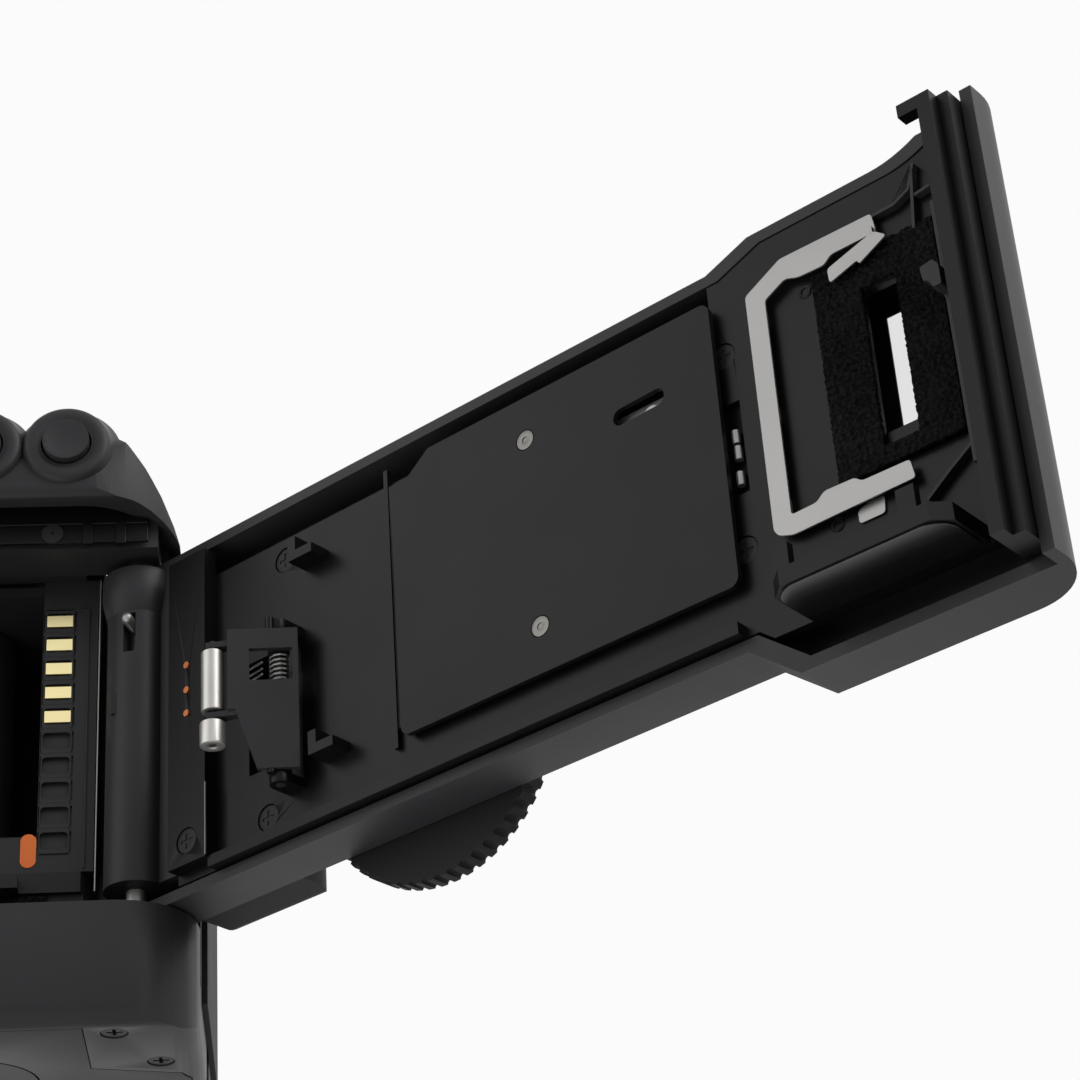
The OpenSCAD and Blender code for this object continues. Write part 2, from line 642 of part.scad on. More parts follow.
// Lens mount
ring_y = film_y - flange_dist;
tab_r = 25;
tab_t = 1.5;
tab_half = 27;
tab_at = [90, 210, 330];
mount_screw_ring = 29.9;
mount_screw_at = [45, 135, 225, 315];
module on_axis() {
  translate([0, ring_y, axis_h]) rotate([-90, 0, 0]) children();
}
module lens_mount_ring() {
  color(bright_steel) difference() {
    union() {
      on_axis() difference() {
        cylinder(h = boss_y - ring_y, r = flange_r);
        translate([0, 0, -cut]) cylinder(h = boss_y - ring_y + 2 * cut, r = throat_r);
      }
      // Three bayonet tabs
      on_axis() for (a = tab_at) intersection() {
        difference() {
          translate([0, 0, seam]) cylinder(h = tab_t, r = throat_r + seam);
          cylinder(h = 2 * tab_t, r = tab_r);
        }
        linear_extrude(2 * tab_t) polygon([[0, 0], [2 * tab_r * cos(a - tab_half),
            2 * tab_r * sin(a - tab_half)],
          [2 * tab_r * cos(a + tab_half), 2 * tab_r * sin(a + tab_half)]]);
      }
    }
    on_axis() for (a = mount_screw_at) rotate([0, 0, a]) translate([mount_screw_ring, 0, -cut]) {
      cylinder(h = cut + screw_head_h, r = screw_head_r);
      cylinder(h = boss_y - ring_y + 2 * cut, r = screw_shank_r + seam);
    }
    on_axis() rotate([0, 0, 180]) translate([mount_screw_ring, 0,
        -cut]) cylinder(h = boss_y - ring_y + 2 * cut, r = lock_r + fit);
  }
}
lock_r = 1.3;
lock_proud = 1.6;
module lens_lock_pin() {
  color(bright_steel) on_axis() rotate([0, 0, 180]) translate([mount_screw_ring, 0, -lock_proud])
    cylinder(h = boss_y - ring_y + lock_proud - seam, r = lock_r);
}
release_x = -41;
release_z = 36;
release_r = 5;
release_y = [-20, -13.2];
module lens_release_button() {
  color(black_plastic) {
    rod_y(-release_x, release_y, release_z, release_r);
  }
}
module body_screws() {
  color(bright_steel) {
    for (p = base_screw_at) {
      difference() {
        rod(p[0], p[1], [seam, screw_head_h], screw_head_r - seam);
        cross_slot(p, seam);
      }
      rod(p[0], p[1], [screw_head_h, base_floor], screw_shank_r);
    }
    on_axis() for (a = mount_screw_at) rotate([0, 0, a]) translate([mount_screw_ring, 0, 0]) difference() {
      union() {
        translate([0, 0, seam]) cylinder(h = screw_head_h - seam, r = screw_head_r - seam);
        translate([0, 0, screw_head_h - seam]) cylinder(h = boss_y - ring_y - screw_head_h,
            r = screw_shank_r);
      }
      for (q = [0, 90]) rotate([0, 0, q]) span([-slot_len / 2, slot_len / 2], [-slot_w / 2, slot_w / 2],
          [-cut, screw_head_h / 2]);
    }
  }
}
slot_len = 2.2;
slot_w = 0.5;
// Cross recess in a head whose face is at height z, seen from below
module cross_slot(p, z) {
  for (q = [0, 90]) translate([p[0], p[1], z]) rotate([0, 0, q])
    span([-slot_len / 2, slot_len / 2], [-slot_w / 2, slot_w / 2], [-cut, screw_head_h / 2]);
}

// Viewfinder
prism_x = 29;
shoe_base_t = 1.1;
shoe_slot_h = 2.1;
shoe_lip_t = 1.4;
shoe_y = [-3, 16];
prism_flat_z = top_h - shoe_base_t - shoe_slot_h - shoe_lip_t;
// Side outline of the prism housing as shares of its reach and rise
nose_shares = [[0, 0], [0, 0.3], [0.07, 0.55], [0.2, 0.8], [0.36, 0.96], [0.44, 1], [0.82, 1], [0.93,
    0.88], [1, 0.68], [1, 0.12], [0.94, 0]];
hood_shares = [[-1, 0], [-1, 0.38], [-0.93, 0.5], [-0.66, 0.86], [-0.5, 0.97], [-0.36, 1], [0.36, 1],
    [0.5, 0.97], [0.66, 0.86], [0.93, 0.5], [1, 0.38], [1, 0]];
nose_y = [-25.2, 28.2];
module hood(i) {
  rise = prism_flat_z - cover_h;
  intersection() {
    slab_x([-prism_x - cut, prism_x + cut]) polygon([for (s = nose_shares)
      [nose_y[0] + i + s[0] * (nose_y[1] - nose_y[0] - 2 * i), cover_h + s[1] * (rise - i)]]);
    slab_y([nose_y[0] - cut, nose_y[1] + cut]) polygon([for (s = hood_shares)
      [s[0] * (prism_x - i), cover_h + s[1] * (rise - i)]]);
  }
}
shelf_y = 16;
lintel_x = [-80.5, 62];
corner_skirt_y = 13.2;
corner_arch = [10, 5.4];
brow_recess = 2.6;
module top_cover() {
  color(black_plastic) difference() {
    union() {
      intersection() {
        cover_envelope(0);
        span([-right_x - cut, left_x + cut], [-front_y - cut, brow_y + cut], [cover_h + seam,
            shoulder_h + cut]);
      }
      intersection() {
        hood(0);
        span([-prism_x - cut, prism_x + cut], [nose_y[0] - cut, nose_y[1] + cut], [cover_h + seam, top_h]);
      }
      for (b = rear_buttons) rod_y(b[0], [brow_y - rear_boss_t - brow_fall[0] / 2, brow_y + rear_boss_t],
          b[1], rear_boss_r);
      // Wall between the brow and the closed door
      span(lintel_x, [rail_back_y, back_y - gap], [door_z1 + gap, cover_h + wall]);
      // Corner of the brow that curves down beside the hinge
      intersection() {
        translate([0, 0, door_z1 + 2 * gap]) linear_extrude(cover_h - door_z1) difference() {
          polygon(cover_plan(0));
          polygon(cover_plan(2 * wall));
        }
        slab_y([corner_skirt_y, brow_y]) intersection() {
          polygon(front_face(0));
          polygon(concat([[-right_x - cut, cover_h + cut], [-right_x - cut, door_z1]],
            oval([-right_x + corner_arch[0] + wall, door_z1], corner_arch, 180, 90),
                [[-right_x + corner_arch[0] + wall, cover_h + cut]]));
        }
      }
    }
    // Recess under the brow
    intersection() {
      translate([0, 0, cover_h - cut]) linear_extrude(brow_recess + cut) polygon(cover_plan(2 * wall));
      span([-right_x, -brow_end_x], [back_y + gap, brow_y], [cover_h - cut, cover_h + brow_recess]);
    }
    // Hollow inside, above the shelf that the door closes under
    intersection() {
      union() {
        cover_envelope(wall);
        hood(wall);
      }
      union() {
        span([-right_x, left_x], [-grip_y, shelf_y], [cover_h - cut, top_h]);
        span([-right_x, left_x], [-grip_y, back_y - wall], [cover_h + 2 * wall + door_z3 - door_z2, top_h]);
      }
    }
    door_space();
    rod(-hinge_x, hinge_y, [door_z1, cover_h + wall], hinge_pin_r + fit);
    for (b = rear_buttons) {
      rod_y(b[0], [back_y - cut, brow_y + 2 * cut], b[1], rear_button_r + gap);
    }
    rod_y(0, [back_y - wall - cut, nose_y[1] + cut], eye_z, eye_r + seam);
    // Window over the display and seats of the top controls
    translate([0, 0, shoulder_h - display_t]) linear_extrude(display_t + cut) rounded(display_x,
        display_y, display_r);
    translate([0, 0, shoulder_h - 2 * wall]) linear_extrude(4 * wall)
      rounded([display_x[0] + wall, display_x[1] - wall], [display_y[0] + wall, display_y[1] - wall],
          display_r / 2);
    for (b = top_buttons) rod(b[0], b[1], [shoulder_h - 2 * wall, shoulder_h + cut], top_button_r + gap);
    rod(lever_at[0], lever_at[1], [shoulder_h - 2 * wall, shoulder_h + cut], lever_stem_r + gap);
    wheel_room();
  }
}
rear_buttons = [[-67.9, (cover_h + shoulder_h) / 2], [-55.4, (cover_h + shoulder_h) / 2]];
rear_boss_r = 5.6;
rear_boss_t = 0.9;
rear_button_r = 3.3;
rear_button_y = [26, 35];
module rear_button(k) {
  color(black_plastic) difference() {
    rod_y(rear_buttons[k][0], rear_button_y, rear_buttons[k][1], rear_button_r);
    translate([rear_buttons[k][0], rear_button_y[1] + rear_dish_r - rear_dish,
        rear_buttons[k][1]]) sphere(rear_dish_r);
  }
}
rear_dish_r = 14;
rear_dish = 0.4;
eye_z = 92.5;
eye_r = 11;
eye_lens_y = [23.8, 26.8];
module eyepiece_lens() {
  color(clear_glass) rod_y(0, eye_lens_y, eye_z, eye_r);
}
eyecup_x = 17;
eyecup_z = [78.5, 104];
eyecup_y = [28.4, 32.6];
eyecup_hole = [11, 8];
eyecup_rim_r = 5;
module eyecup() {
  color(black_rubber) difference() {
    slab_y(eyecup_y) rounded([-eyecup_x, eyecup_x], eyecup_z, eyecup_rim_r);
    slab_y([eyecup_y[0] - cut, eyecup_y[1] + cut])
      rounded([-eyecup_hole[0], eyecup_hole[0]], [eye_z - eyecup_hole[1], eye_z + eyecup_hole[1]],
          eyecup_rim_r / 2);
    on_closed_door() span([0, door_len], [0, door_y + 5 * cut], [door_z0, door_z1 + 2 * gap]);
  }
}
module focusing_screen() {
  color(clear_glass) span([-screen_size[0] / 2 + seam, screen_size[0] / 2 - seam], [screen_y[0] + seam,
      screen_y[1] - seam],
    [screen_z, screen_z + screen_size[2]]);
}
// Side outline of the pentaprism as shares of its depth and height
prism_shares = [[0, 0], [0, 0.38], [0.34, 1], [0.5, 1], [1, 0.62], [1, 0]];
prism_y = [-18, 9.2];
prism_z = [68.7, prism_flat_z - 3.5 * wall];
prism_half = [15.5, 4];
module pentaprism() {
  depth = prism_y[1] - prism_y[0];
  rise = prism_z[1] - prism_z[0];
  color(clear_glass) intersection() {
    slab_x([-prism_half[0], prism_half[0]]) polygon([for (s = prism_shares)
      [prism_y[0] + s[0] * depth, prism_z[0] + s[1] * rise]]);
    slab_y([prism_y[0] - cut, prism_y[1] + cut]) polygon([[-prism_half[0], prism_z[0]], [prism_half[0],
        prism_z[0]],
      [prism_half[0], prism_z[0] + rise * 0.5], [prism_half[1], prism_z[1]], [-prism_half[1], prism_z[1]],
      [-prism_half[0], prism_z[0] + rise * 0.5]]);
  }
}
shoe_w = 22.4;
shoe_lip_gap = 12.6;
module accessory_shoe() {
  color(bright_steel) difference() {
    span([-shoe_w / 2, shoe_w / 2], shoe_y, [prism_flat_z, top_h]);
    span([-shoe_slot_w / 2, shoe_slot_w / 2], [shoe_y[0] + shoe_base_t, shoe_y[1] + cut],
      [prism_flat_z + shoe_base_t, top_h - shoe_lip_t]);
    span([-shoe_lip_gap / 2, shoe_lip_gap / 2], [shoe_y[0] - cut, shoe_y[1] + cut],
        [prism_flat_z + shoe_base_t, top_h + cut]);
  }
}

// Top controls
display_x = [-62, -32];
display_y = [0, 17];
display_t = 1.2;
display_r = 2.5;
module display_window() {
  color(clear_glass) translate([0, 0, shoulder_h - display_t]) linear_extrude(display_t)
    rounded([display_x[0] + seam, display_x[1] - seam], [display_y[0] + seam, display_y[1] - seam],
        display_r);
}
shutter_x = 71;
shutter_y = -29.5;
shutter_z = grip_h + wall;
shutter_r = 5.2;
shutter_stem_r = 2;
shutter_stem_h = 4;
shutter_head_h = 2.6;
module shutter_button() {
  color(black_plastic) difference() {
    union() {
      rod(-shutter_x, shutter_y, [shutter_z + 2 * gap + cut, shutter_z + 2 * gap + cut + shutter_head_h],
          shutter_r);
      rod(-shutter_x, shutter_y, [shutter_z - shutter_stem_h + cut, shutter_z + 2 * cut], shutter_stem_r);
    }
    translate([-shutter_x, shutter_y,
        shutter_z + 2 * gap + cut + shutter_head_h + 2 * rear_dish_r - rear_dish]) sphere(2 * rear_dish_r);
  }
}
wheel_x = 71;
wheel_y = -15.5;
wheel_z = grip_h + wall / 2;
wheel_r = 8;
wheel_t = 6;
wheel_axle_r = 1.2;
wheel_teeth = 28;
wheel_tooth_r = 0.45;
module wheel_room() {
  span([-wheel_x - wheel_t / 2 - gap, -wheel_x + wheel_t / 2 + gap], [wheel_y - wheel_r - gap,
      wheel_y + wheel_r + gap],
    [wheel_z - wheel_r - gap, shoulder_h + cut]);
}
module main_dial() {
  color(black_plastic) difference() {
    union() {
      rod_x([-wheel_x - wheel_t / 2, -wheel_x + wheel_t / 2], wheel_y, wheel_z, wheel_r);
      rod_x([-wheel_x - wheel_t, -wheel_x + wheel_t], wheel_y, wheel_z, wheel_axle_r);
    }
    for (k = [0:wheel_teeth - 1]) translate([-wheel_x - wheel_t / 2 - cut, wheel_y, wheel_z]) rotate([0,
        90, 0])
      rotate([0, 0, k * 360 / wheel_teeth]) translate([wheel_r, 0, 0]) cylinder(h = wheel_t + 2 * cut,
          r = wheel_tooth_r);
  }
}
top_buttons = [[42, 0], [52, 9]];
top_button_r = 3.4;
top_button_proud = 1;
top_button_z = [shoulder_h - 2 * wall + gap, shoulder_h + top_button_proud];
module top_button(k) {
  color(black_plastic) difference() {
    rod(top_buttons[k][0], top_buttons[k][1], top_button_z, top_button_r);
    translate([top_buttons[k][0], top_buttons[k][1],
        top_button_z[1] + rear_dish_r - rear_dish]) sphere(rear_dish_r);
  }
}
lever_at = [48, -8];
lever_stem_r = 2;
lever_hub_r = 5;
lever_t = 2.3;
lever_z = [shoulder_h + gap, shoulder_h + gap + lever_t];
lever_reach = 8.5;
lever_tip_r = 1.8;
module power_lever() {
  color(black_plastic) {
    rod(lever_at[0], lever_at[1], [shoulder_h - 2 * wall, lever_z[0] + cut], lever_stem_r);
    rod(lever_at[0], lever_at[1], lever_z, lever_hub_r);
    translate([lever_at[0], lever_at[1], lever_z[0]]) linear_extrude(lever_z[1] - lever_z[0])
      stadium([0, 0], [lever_reach, 0], lever_tip_r);
  }
}
lug_y = 2;
lug_z = 66;
lug_r = 3;
lug_hole_r = 1.6;
lug_reach = 3.6;
module strap_lugs() {
  color(bright_steel) for (x = [left_x, -right_x]) {
    s = x > 0 ? 1 : -1;
    translate([x, lug_y, lug_z]) rotate([0, s * 90, 0]) difference() {
      union() {
        translate([0, 0, -wall / 2]) cylinder(h = wall + rubber_t, r = lug_r);
        span([-lug_r, lug_r], [-lug_hole_r / 2, lug_hole_r / 2], [0, lug_reach]);
      }
      translate([0, lug_r, lug_reach - lug_hole_r]) rotate([90, 0, 0]) cylinder(h = 2 * lug_r,
          r = lug_hole_r / 2);
    }
  }
}

// Spool, fork and contacts
spool_core_r = 1.2;
spool_teeth = 6;
module take_up_spool() {
  color(black_plastic) difference() {
    union() {
      rod(-spool_x, spool_y, spool_z, spool_r);
      rod(-spool_x, spool_y, [spool_z[0] - spool_pivot_h, spool_z[1] + spool_pivot_h], spool_pivot_r);
    }
    // Slots that take the film leader
    for (k = [0:spool_teeth / 2 - 1]) translate([-spool_x, spool_y, 0]) rotate([0, 0,
        k * 360 / (spool_teeth / 2)])
      span([spool_r - spool_core_r, spool_r + cut], [-spool_core_r, spool_core_r], [spool_z[0] + spool_r,
          spool_z[1] - spool_r]);
  }
}
fork_z = [14.4, 25.5];
fork_blade = [1.2, 5.2];
module rewind_fork() {
  color(bright_steel) {
    rod(cart_x, cart_y, [fork_z[0], cart_floor_z + gap], fork_r);
    rod(cart_x, cart_y, [cart_floor_z, fork_z[1] - fork_blade[0]], fork_blade[1] / 2);
    span([cart_x - fork_blade[0] / 2, cart_x + fork_blade[0] / 2], [cart_y - fork_blade[1] / 2,
        cart_y + fork_blade[1] / 2],
      [cart_floor_z, fork_z[1]]);
  }
}
pad_count = 5;
pad_pitch = 3.88;
pad_top_z = 65.2;
pad_x = 65.9;
pad_size = [3.7, 0.6, 1.8];
pad_pocket = [4.7, 0.5, 3];
blank_count = 5;
bar_z = [25.6, 31];
bar_x = 56;
module contact_strip() {
  color(black_plastic) difference() {
    union() {
      span([-panel_x[1], -panel_x[0]], [panel_y - panel_t, panel_y], [bar_z[0],
          spool_room_z[1] + cast_wall]);
      span([-panel_x[0] - seam, -bar_x], [panel_y - panel_t, panel_y], bar_z);
    }
    for (k = [0:pad_count + blank_count - 1])
      span([-pad_x - pad_pocket[0] / 2, -pad_x + pad_pocket[0] / 2], [panel_y - pad_pocket[1],
          film_y + cut],
        [pad_top_z - k * pad_pitch - pad_pocket[2] / 2, pad_top_z - k * pad_pitch + pad_pocket[2] / 2]);
  }
}
module gold_contacts() {
  color(contact_gold) for (k = [0:pad_count - 1])
    span([-pad_x - pad_size[0] / 2, -pad_x + pad_size[0] / 2], [panel_y - pad_pocket[1],
        panel_y - pad_pocket[1] + pad_size[1]],
      [pad_top_z - k * pad_pitch - pad_size[2] / 2, pad_top_z - k * pad_pitch + pad_size[2] / 2]);
}
code_count = 6;
code_pitch = 5;
code_r = 0.9;
code_proud = 0.6;
module cartridge_contacts() {
  color(contact_gold) for (k = [0:code_count - 1])
    rod_x([cart_x - cart_r, cart_x - cart_r + code_proud], cart_y + code_pitch,
        axis_h + (k - (code_count - 1) / 2) * code_pitch, code_r);
}
seal_t = 0.5;
seal_w = 0.6;
module light_seals() {
  color(foam_black) {
    span([cast_end[0] + 4 * cast_wall, cast_end[1] - cast_wall], [trap_y, trap_y + seal_t],
      [chassis_z[1] - 2 * cast_wall + seal_t / 2, chassis_z[1] - 2 * cast_wall + seal_t / 2 + seal_w]);
    span([-hinge_x + 8 * seal_t + hinge_sweep_r, cart_x - cart_r - 2 * seal_t], [trap_y, trap_y + seal_t],
        [rail_z - 2 * rib_t, rail_z]);
  }
}
module lower_hinge_pin() {
  color(bright_steel) rod(-hinge_x, hinge_y, [base_floor, door_barrel_z[0] + hinge_pin_len], hinge_pin_r);
}
hinge_pin_len = 5;
door_barrel_z = [20.9, 70];
door_barrel_r = 4.5;

// Door shell: a moulded tray with the hinge barrel, wrapped round both ends
web_x = 8.2;
slot_half = 0.9;
pin_slot_z = [56.2, 62.4];
window_x = [124.4, 131.6];
window_z = [37, 57.5];
window_r = 1.5;
module door_shell() {
  color(black_plastic) on_door() difference() {
    union() {
      difference() {
        intersection() {
          translate([0, 0, deep_z0 - cut]) linear_extrude(door_z3 - deep_z0 + 2 * cut)
              polygon(door_plan(0));
          slab_y([-tongue_reach, door_y + cut]) polygon(door_face(0));
        }
        intersection() {
          translate([0, 0, deep_z0 - cut]) linear_extrude(door_z3 - deep_z0 + 2 * cut)
              polygon(door_plan(door_skin));
          slab_y([-tongue_reach, door_y + cut]) polygon(door_face(-door_skin));
        }
      }
      rod(0, 0, door_barrel_z, door_barrel_r);
      span([0, web_x], [0, door_y - door_skin / 2], door_barrel_z);
      // Lap of the free end round the corner of the body
      span([door_len - door_skin, door_len], [-door_lap, door_y - end_r], [deep_z0, door_z3]);
      // Curved stiffening ribs behind the window pad
      for (z = rib_cross_z) intersection() {
        slab_y([rib_y, door_y - door_skin / 2]) for (s = [-1, 1]) translate([rib_cross_x + s * rib_ring_r,
            z])
          difference() {
            circle(rib_ring_r + rib_cross_t / 2);
            circle(rib_ring_r - rib_cross_t / 2);
          }
        span([liner_end_x + gap, tongue_x - gap], [rib_y, door_y], [z - rib_cross_half,
            z + rib_cross_half]);
      }
    }
    // Pin bore and the slot of its release knob
    rod(0, 0, [0, top_h], hinge_pin_r + fit);
    rotate([0, 0, knob_turn]) span([0, door_barrel_r + cut], [-slot_half, slot_half], pin_slot_z);
    // Film window
    slab_y([0, door_y + cut]) rounded(window_x, window_z, window_r);
    slab_y([door_y - window_step, door_y + cut])
      rounded([window_x[0] - wall, window_x[1] + wall], [window_z[0] - wall, window_z[1] + wall], window_r);
    // Well of the rear dial
    rod_y(dial_at[0], [door_y - dial_well, door_y + cut], dial_at[1], dial_hub_r + gap);
  }
}
knob_turn = -61;
rib_cross_z = [64, 31];
rib_cross_x = 138.5;
rib_cross_t = 0.9;
rib_cross_half = 6;
rib_ring_r = 9;
rib_y = 1.75;
window_step = 1;
liner_end_x = 137.6;
dial_at = [47.6, 29.2];
dial_hub_r = 8;
dial_well = 0.9;
dial_y = [7.8, 10.6];
dial_teeth = 56;
dial_tooth_r = 0.55;
module rear_dial() {
  color(black_plastic) on_door() difference() {
    union() {
      rod_y(dial_at[0], dial_y, dial_at[1], dial_r);
      rod_y(dial_at[0], [door_y - dial_well + gap, dial_y[0] + cut], dial_at[1], dial_hub_r);
    }
    // Finger track and button dish
    translate([dial_at[0], dial_y[1] + cut, dial_at[1]]) rotate([90, 0, 0]) difference() {
      cylinder(h = cut + dial_dish, r = dial_r - 3 * dial_dish);
      translate([0, 0, -cut]) cylinder(h = 4 * cut, r = dial_hub_r);
    }
    for (k = [0:dial_teeth - 1]) translate([dial_at[0], dial_y[1] + cut, dial_at[1]]) rotate([90,
        k * 360 / dial_teeth, 0])
      translate([dial_r, 0, 0]) cylinder(h = dial_y[1] - dial_y[0] + 2 * cut, r = dial_tooth_r);
  }
}
dial_dish = 1;

// Door liner: the inner moulding that carries the film path
liner_y = [0, 1.6];
strip_x = [8.4, 15.6];
strip_rise = 2.1;
strip_z = [20.6, 68.2];
liner_edge = 1.9;
liner_top_z = 64.4;
plate_pocket_x = [53.5, 102.5];
plate_pocket_z = [28.5, 63];
plate_pocket_depth = 1;
arm_room_x = [22, 29.6];
arm_room_z = [30.6, 47.6];
lug_up = [[33, 58], [37.4, 61.6]];
lug_low = [[36, 27.6], [40.4, 31]];
lug_t = 1.4;
film_lug_reach = 3.2;
shelf_x = [113, 137];
shelf_z = [17.5, 19.8];
tray_reach = 9.4;
shelf_r = 2;
post_x = [[113, 115.2], [130, 132.4]];
post_z = 24.4;
post_t = 1.2;
contact_box_x = [103.8, 106.6];
contact_box_z = [38, 51];
module door_liner() {
  color(black_plastic) on_door() difference() {
    union() {
      // Back plate within the tray
      slab_y(liner_y) intersection() {
        polygon(door_face(-liner_edge));
        union() {
          translate([web_x + seam, shelf_z[0]]) square([liner_end_x - web_x - seam,
              liner_top_z - shelf_z[0]]);
          translate([door_step_x[0], shelf_z[0]]) square([liner_end_x - door_step_x[0], door_z3]);
        }
      }
      span(strip_x, [-strip_rise, 0 + seam], strip_z);
      // Light rib along the lower edge
      span([strip_x[1], door_step_x[0]], [-rib_t, seam], [door_z0 + liner_edge,
          door_z0 + liner_edge + rib_t]);
      // Guides beside the film
      for (l = [lug_up, lug_low]) {
        span([l[0][0], l[0][0] + lug_t], [-film_lug_reach, seam], [l[0][1], l[1][1]]);
        span([l[0][0], l[1][0]], [-film_lug_reach, seam], [l[0][1], l[0][1] + lug_t]);
      }
      // Bearings of the roller arm
      for (z = arm_bearing_z) translate([arm_pin[0], arm_pin[1], z[0]]) {
        cylinder(h = z[1] - z[0], r = arm_bearing_r);
        span([-arm_bearing_r, arm_bearing_r], [0, -arm_pin[1] + seam], [0, z[1] - z[0]]);
      }
      // Shelf that closes the cartridge chamber from below
      translate([0, 0, shelf_z[0]]) linear_extrude(shelf_z[1] - shelf_z[0]) difference() {
        translate([shelf_x[0], -tray_reach]) square([shelf_x[1] - shelf_x[0], tray_reach + seam]);
        for (s = [0, 1]) translate([shelf_x[s], -tray_reach]) rotate([0, 0, 45]) square(shelf_r * sqrt(2),
            center = true);
      }
      for (p = post_x) span(p, [-tray_reach + shelf_r + gap, -tray_reach + shelf_r + gap + post_t],
        [shelf_z[0] + seam, post_z]);
      // Tongue that slides into the groove of the body, with its hook
      span([tongue_x, tongue_x + tongue_t], [-tongue_reach, door_y - end_r], [deep_z0 + door_skin + gap,
          tongue_top_z]);
      span([tongue_x, door_len - door_skin - seam], [-tongue_reach + tongue_t, 0],
          [deep_z0 + door_skin + gap, tongue_top_z]);
      span([tongue_x - tongue_hook, tongue_x], [-tongue_reach, -tongue_reach + tongue_t],
          [tongue_top_z - tongue_t, tongue_top_z]);
      span([liner_end_x - seam, tongue_x + seam], liner_y, [shelf_z[0] + 2 * shelf_r,
          tongue_top_z - 2 * shelf_r]);
      // Raised rim round the plate
      span([plate_x[0] - 3 * rim_t, plate_x[0] - 2 * rim_t], [-rim_t, seam], [plate_z[0] - rim_t,
          plate_z[1] + rim_t]);
    }
    span(plate_pocket_x, [liner_y[0] - cut, liner_y[0] + plate_pocket_depth], plate_pocket_z);
    span(arm_room_x, [liner_y[0] - cut, liner_y[1] + cut], arm_room_z);
    slab_y([liner_y[0] - cut, liner_y[1] + cut]) rounded(window_x, window_z, window_r);
    span(contact_box_x, [liner_y[0] - cut, liner_y[0] + plate_pocket_depth], contact_box_z);
    rod(arm_pin[0], arm_pin[1], [arm_pin_z[0] - cut, arm_pin_z[1] + cut], arm_pin_r);
    for (z = pin_z) rod_y(pin_x, [-strip_rise - cut, seam], z, pin_r);
    for (p = liner_screw_at) rod_y(p[0], [p[2] - cut, p[2] + screw_head_h / 2], p[1], screw_head_r);
    span([latch_x[0] - gap, latch_x[1] + gap], [latch_y[0] - gap, liner_y[1] + cut],
        [latch_z[0] - latch_travel - gap, latch_z[1] + latch_travel + gap]);
  }
}
tongue_top_z = 73.9;
tongue_hook = 2.7;
rim_t = 0.7;
pin_x = 12.2;
pin_z = [50.6, 46.7, 43.1];
pin_r = 0.5;
pin_proud = 0.3;
liner_screw_at = [[12, 24, -2.1], [25.4, 23.4, 0], [29.4, 61.2, 0], [104.9, 58.1, 0], [104.9, 30.4, 0]];
module door_contact_pins() {
  color(contact_copper) on_door() for (z = pin_z) rod_y(pin_x, [-strip_rise - pin_proud, 0], z, pin_r);
}
module liner_screws() {
  color(die_cast) on_door() for (p = liner_screw_at) difference() {
    rod_y(p[0], [p[2] + seam, p[2] + screw_head_h / 2], p[1], screw_head_r - seam);
    for (q = [0, 90]) translate([p[0], p[2], p[1]]) rotate([0, q, 0]) span([-slot_len / 2, slot_len / 2],
        [0, screw_head_h / 4], [-slot_w / 2, slot_w / 2]);
  }
}

// Pressure plate on its two shoulder screws, with the leaf spring behind it
plate_x = [50.9, 104.6];
plate_z = [25.3, 65.8];
plate_y = [-1.6, -0.8];
plate_r = 1.4;
plate_lip = 0.9;
plate_notch = [6.8, 2.9];
plate_screw_at = [[74.3, 59.4], [74.6, 31.8]];
plate_slot = [[89.8, 55.7], [95.5, 55.9]];
plate_slot_r = 1.2;
plate_hole_r = 1.1;
module pressure_plate() {
  color(black_plastic) on_door() difference() {
    union() {
      slab_y(plate_y) difference() {
        rounded(plate_x, plate_z, plate_r);
        polygon([[plate_x[0] - cut, plate_z[1] + cut], [plate_x[0] + plate_notch[0], plate_z[1] + cut],
          [plate_x[0] + plate_notch[0], plate_z[1]], [plate_x[0] + plate_notch[1],
              plate_z[1] - plate_notch[1]],
          [plate_x[0] - cut, plate_z[1] - plate_notch[1]]]);
      }
      // Lead-in lip, curled towards the door
      intersection() {
        rod(plate_x[0], plate_y[0] + plate_lip, [plate_z[0] + plate_r, plate_z[1] - plate_notch[1]],
            plate_lip);
        span([plate_x[0] - plate_lip, plate_x[0]], [plate_y[0], plate_y[0] + plate_lip], plate_z);
      }
    }
    for (p = plate_screw_at) {
      rod_y(p[0], [plate_y[0] - cut, plate_y[1] + cut], p[1], plate_hole_r);
      rod_y(p[0], [plate_y[0] - cut, plate_y[0] + screw_cap_h + seam], p[1], screw_cap_r + seam);
    }
    slab_y([plate_y[0] - cut, plate_y[1] + cut]) stadium(plate_slot[0], plate_slot[1], plate_slot_r);
  }
}
module plate_screws() {
  color(bright_steel) on_door() for (p = plate_screw_at) difference() {
    union() {
      rod_y(p[0], [plate_y[0], plate_y[0] + screw_cap_h], p[1], screw_cap_r);
      rod_y(p[0], [plate_y[0] + screw_cap_h / 2, liner_y[0] + plate_pocket_depth], p[1],
          screw_shank_r - seam);
    }
    rod_y(p[0], [plate_y[0] - cut, plate_y[0] + screw_cap_h / 2], p[1], slot_w);
  }
}
screw_cap_r = 1.35;
screw_cap_h = 0.3;
leaf_t = 0.3;
leaf_w = 5;
leaf_z = [45.6, 34, 57];
leaf_dome_x = [62, 94];
leaf_dome_r = 1.2;
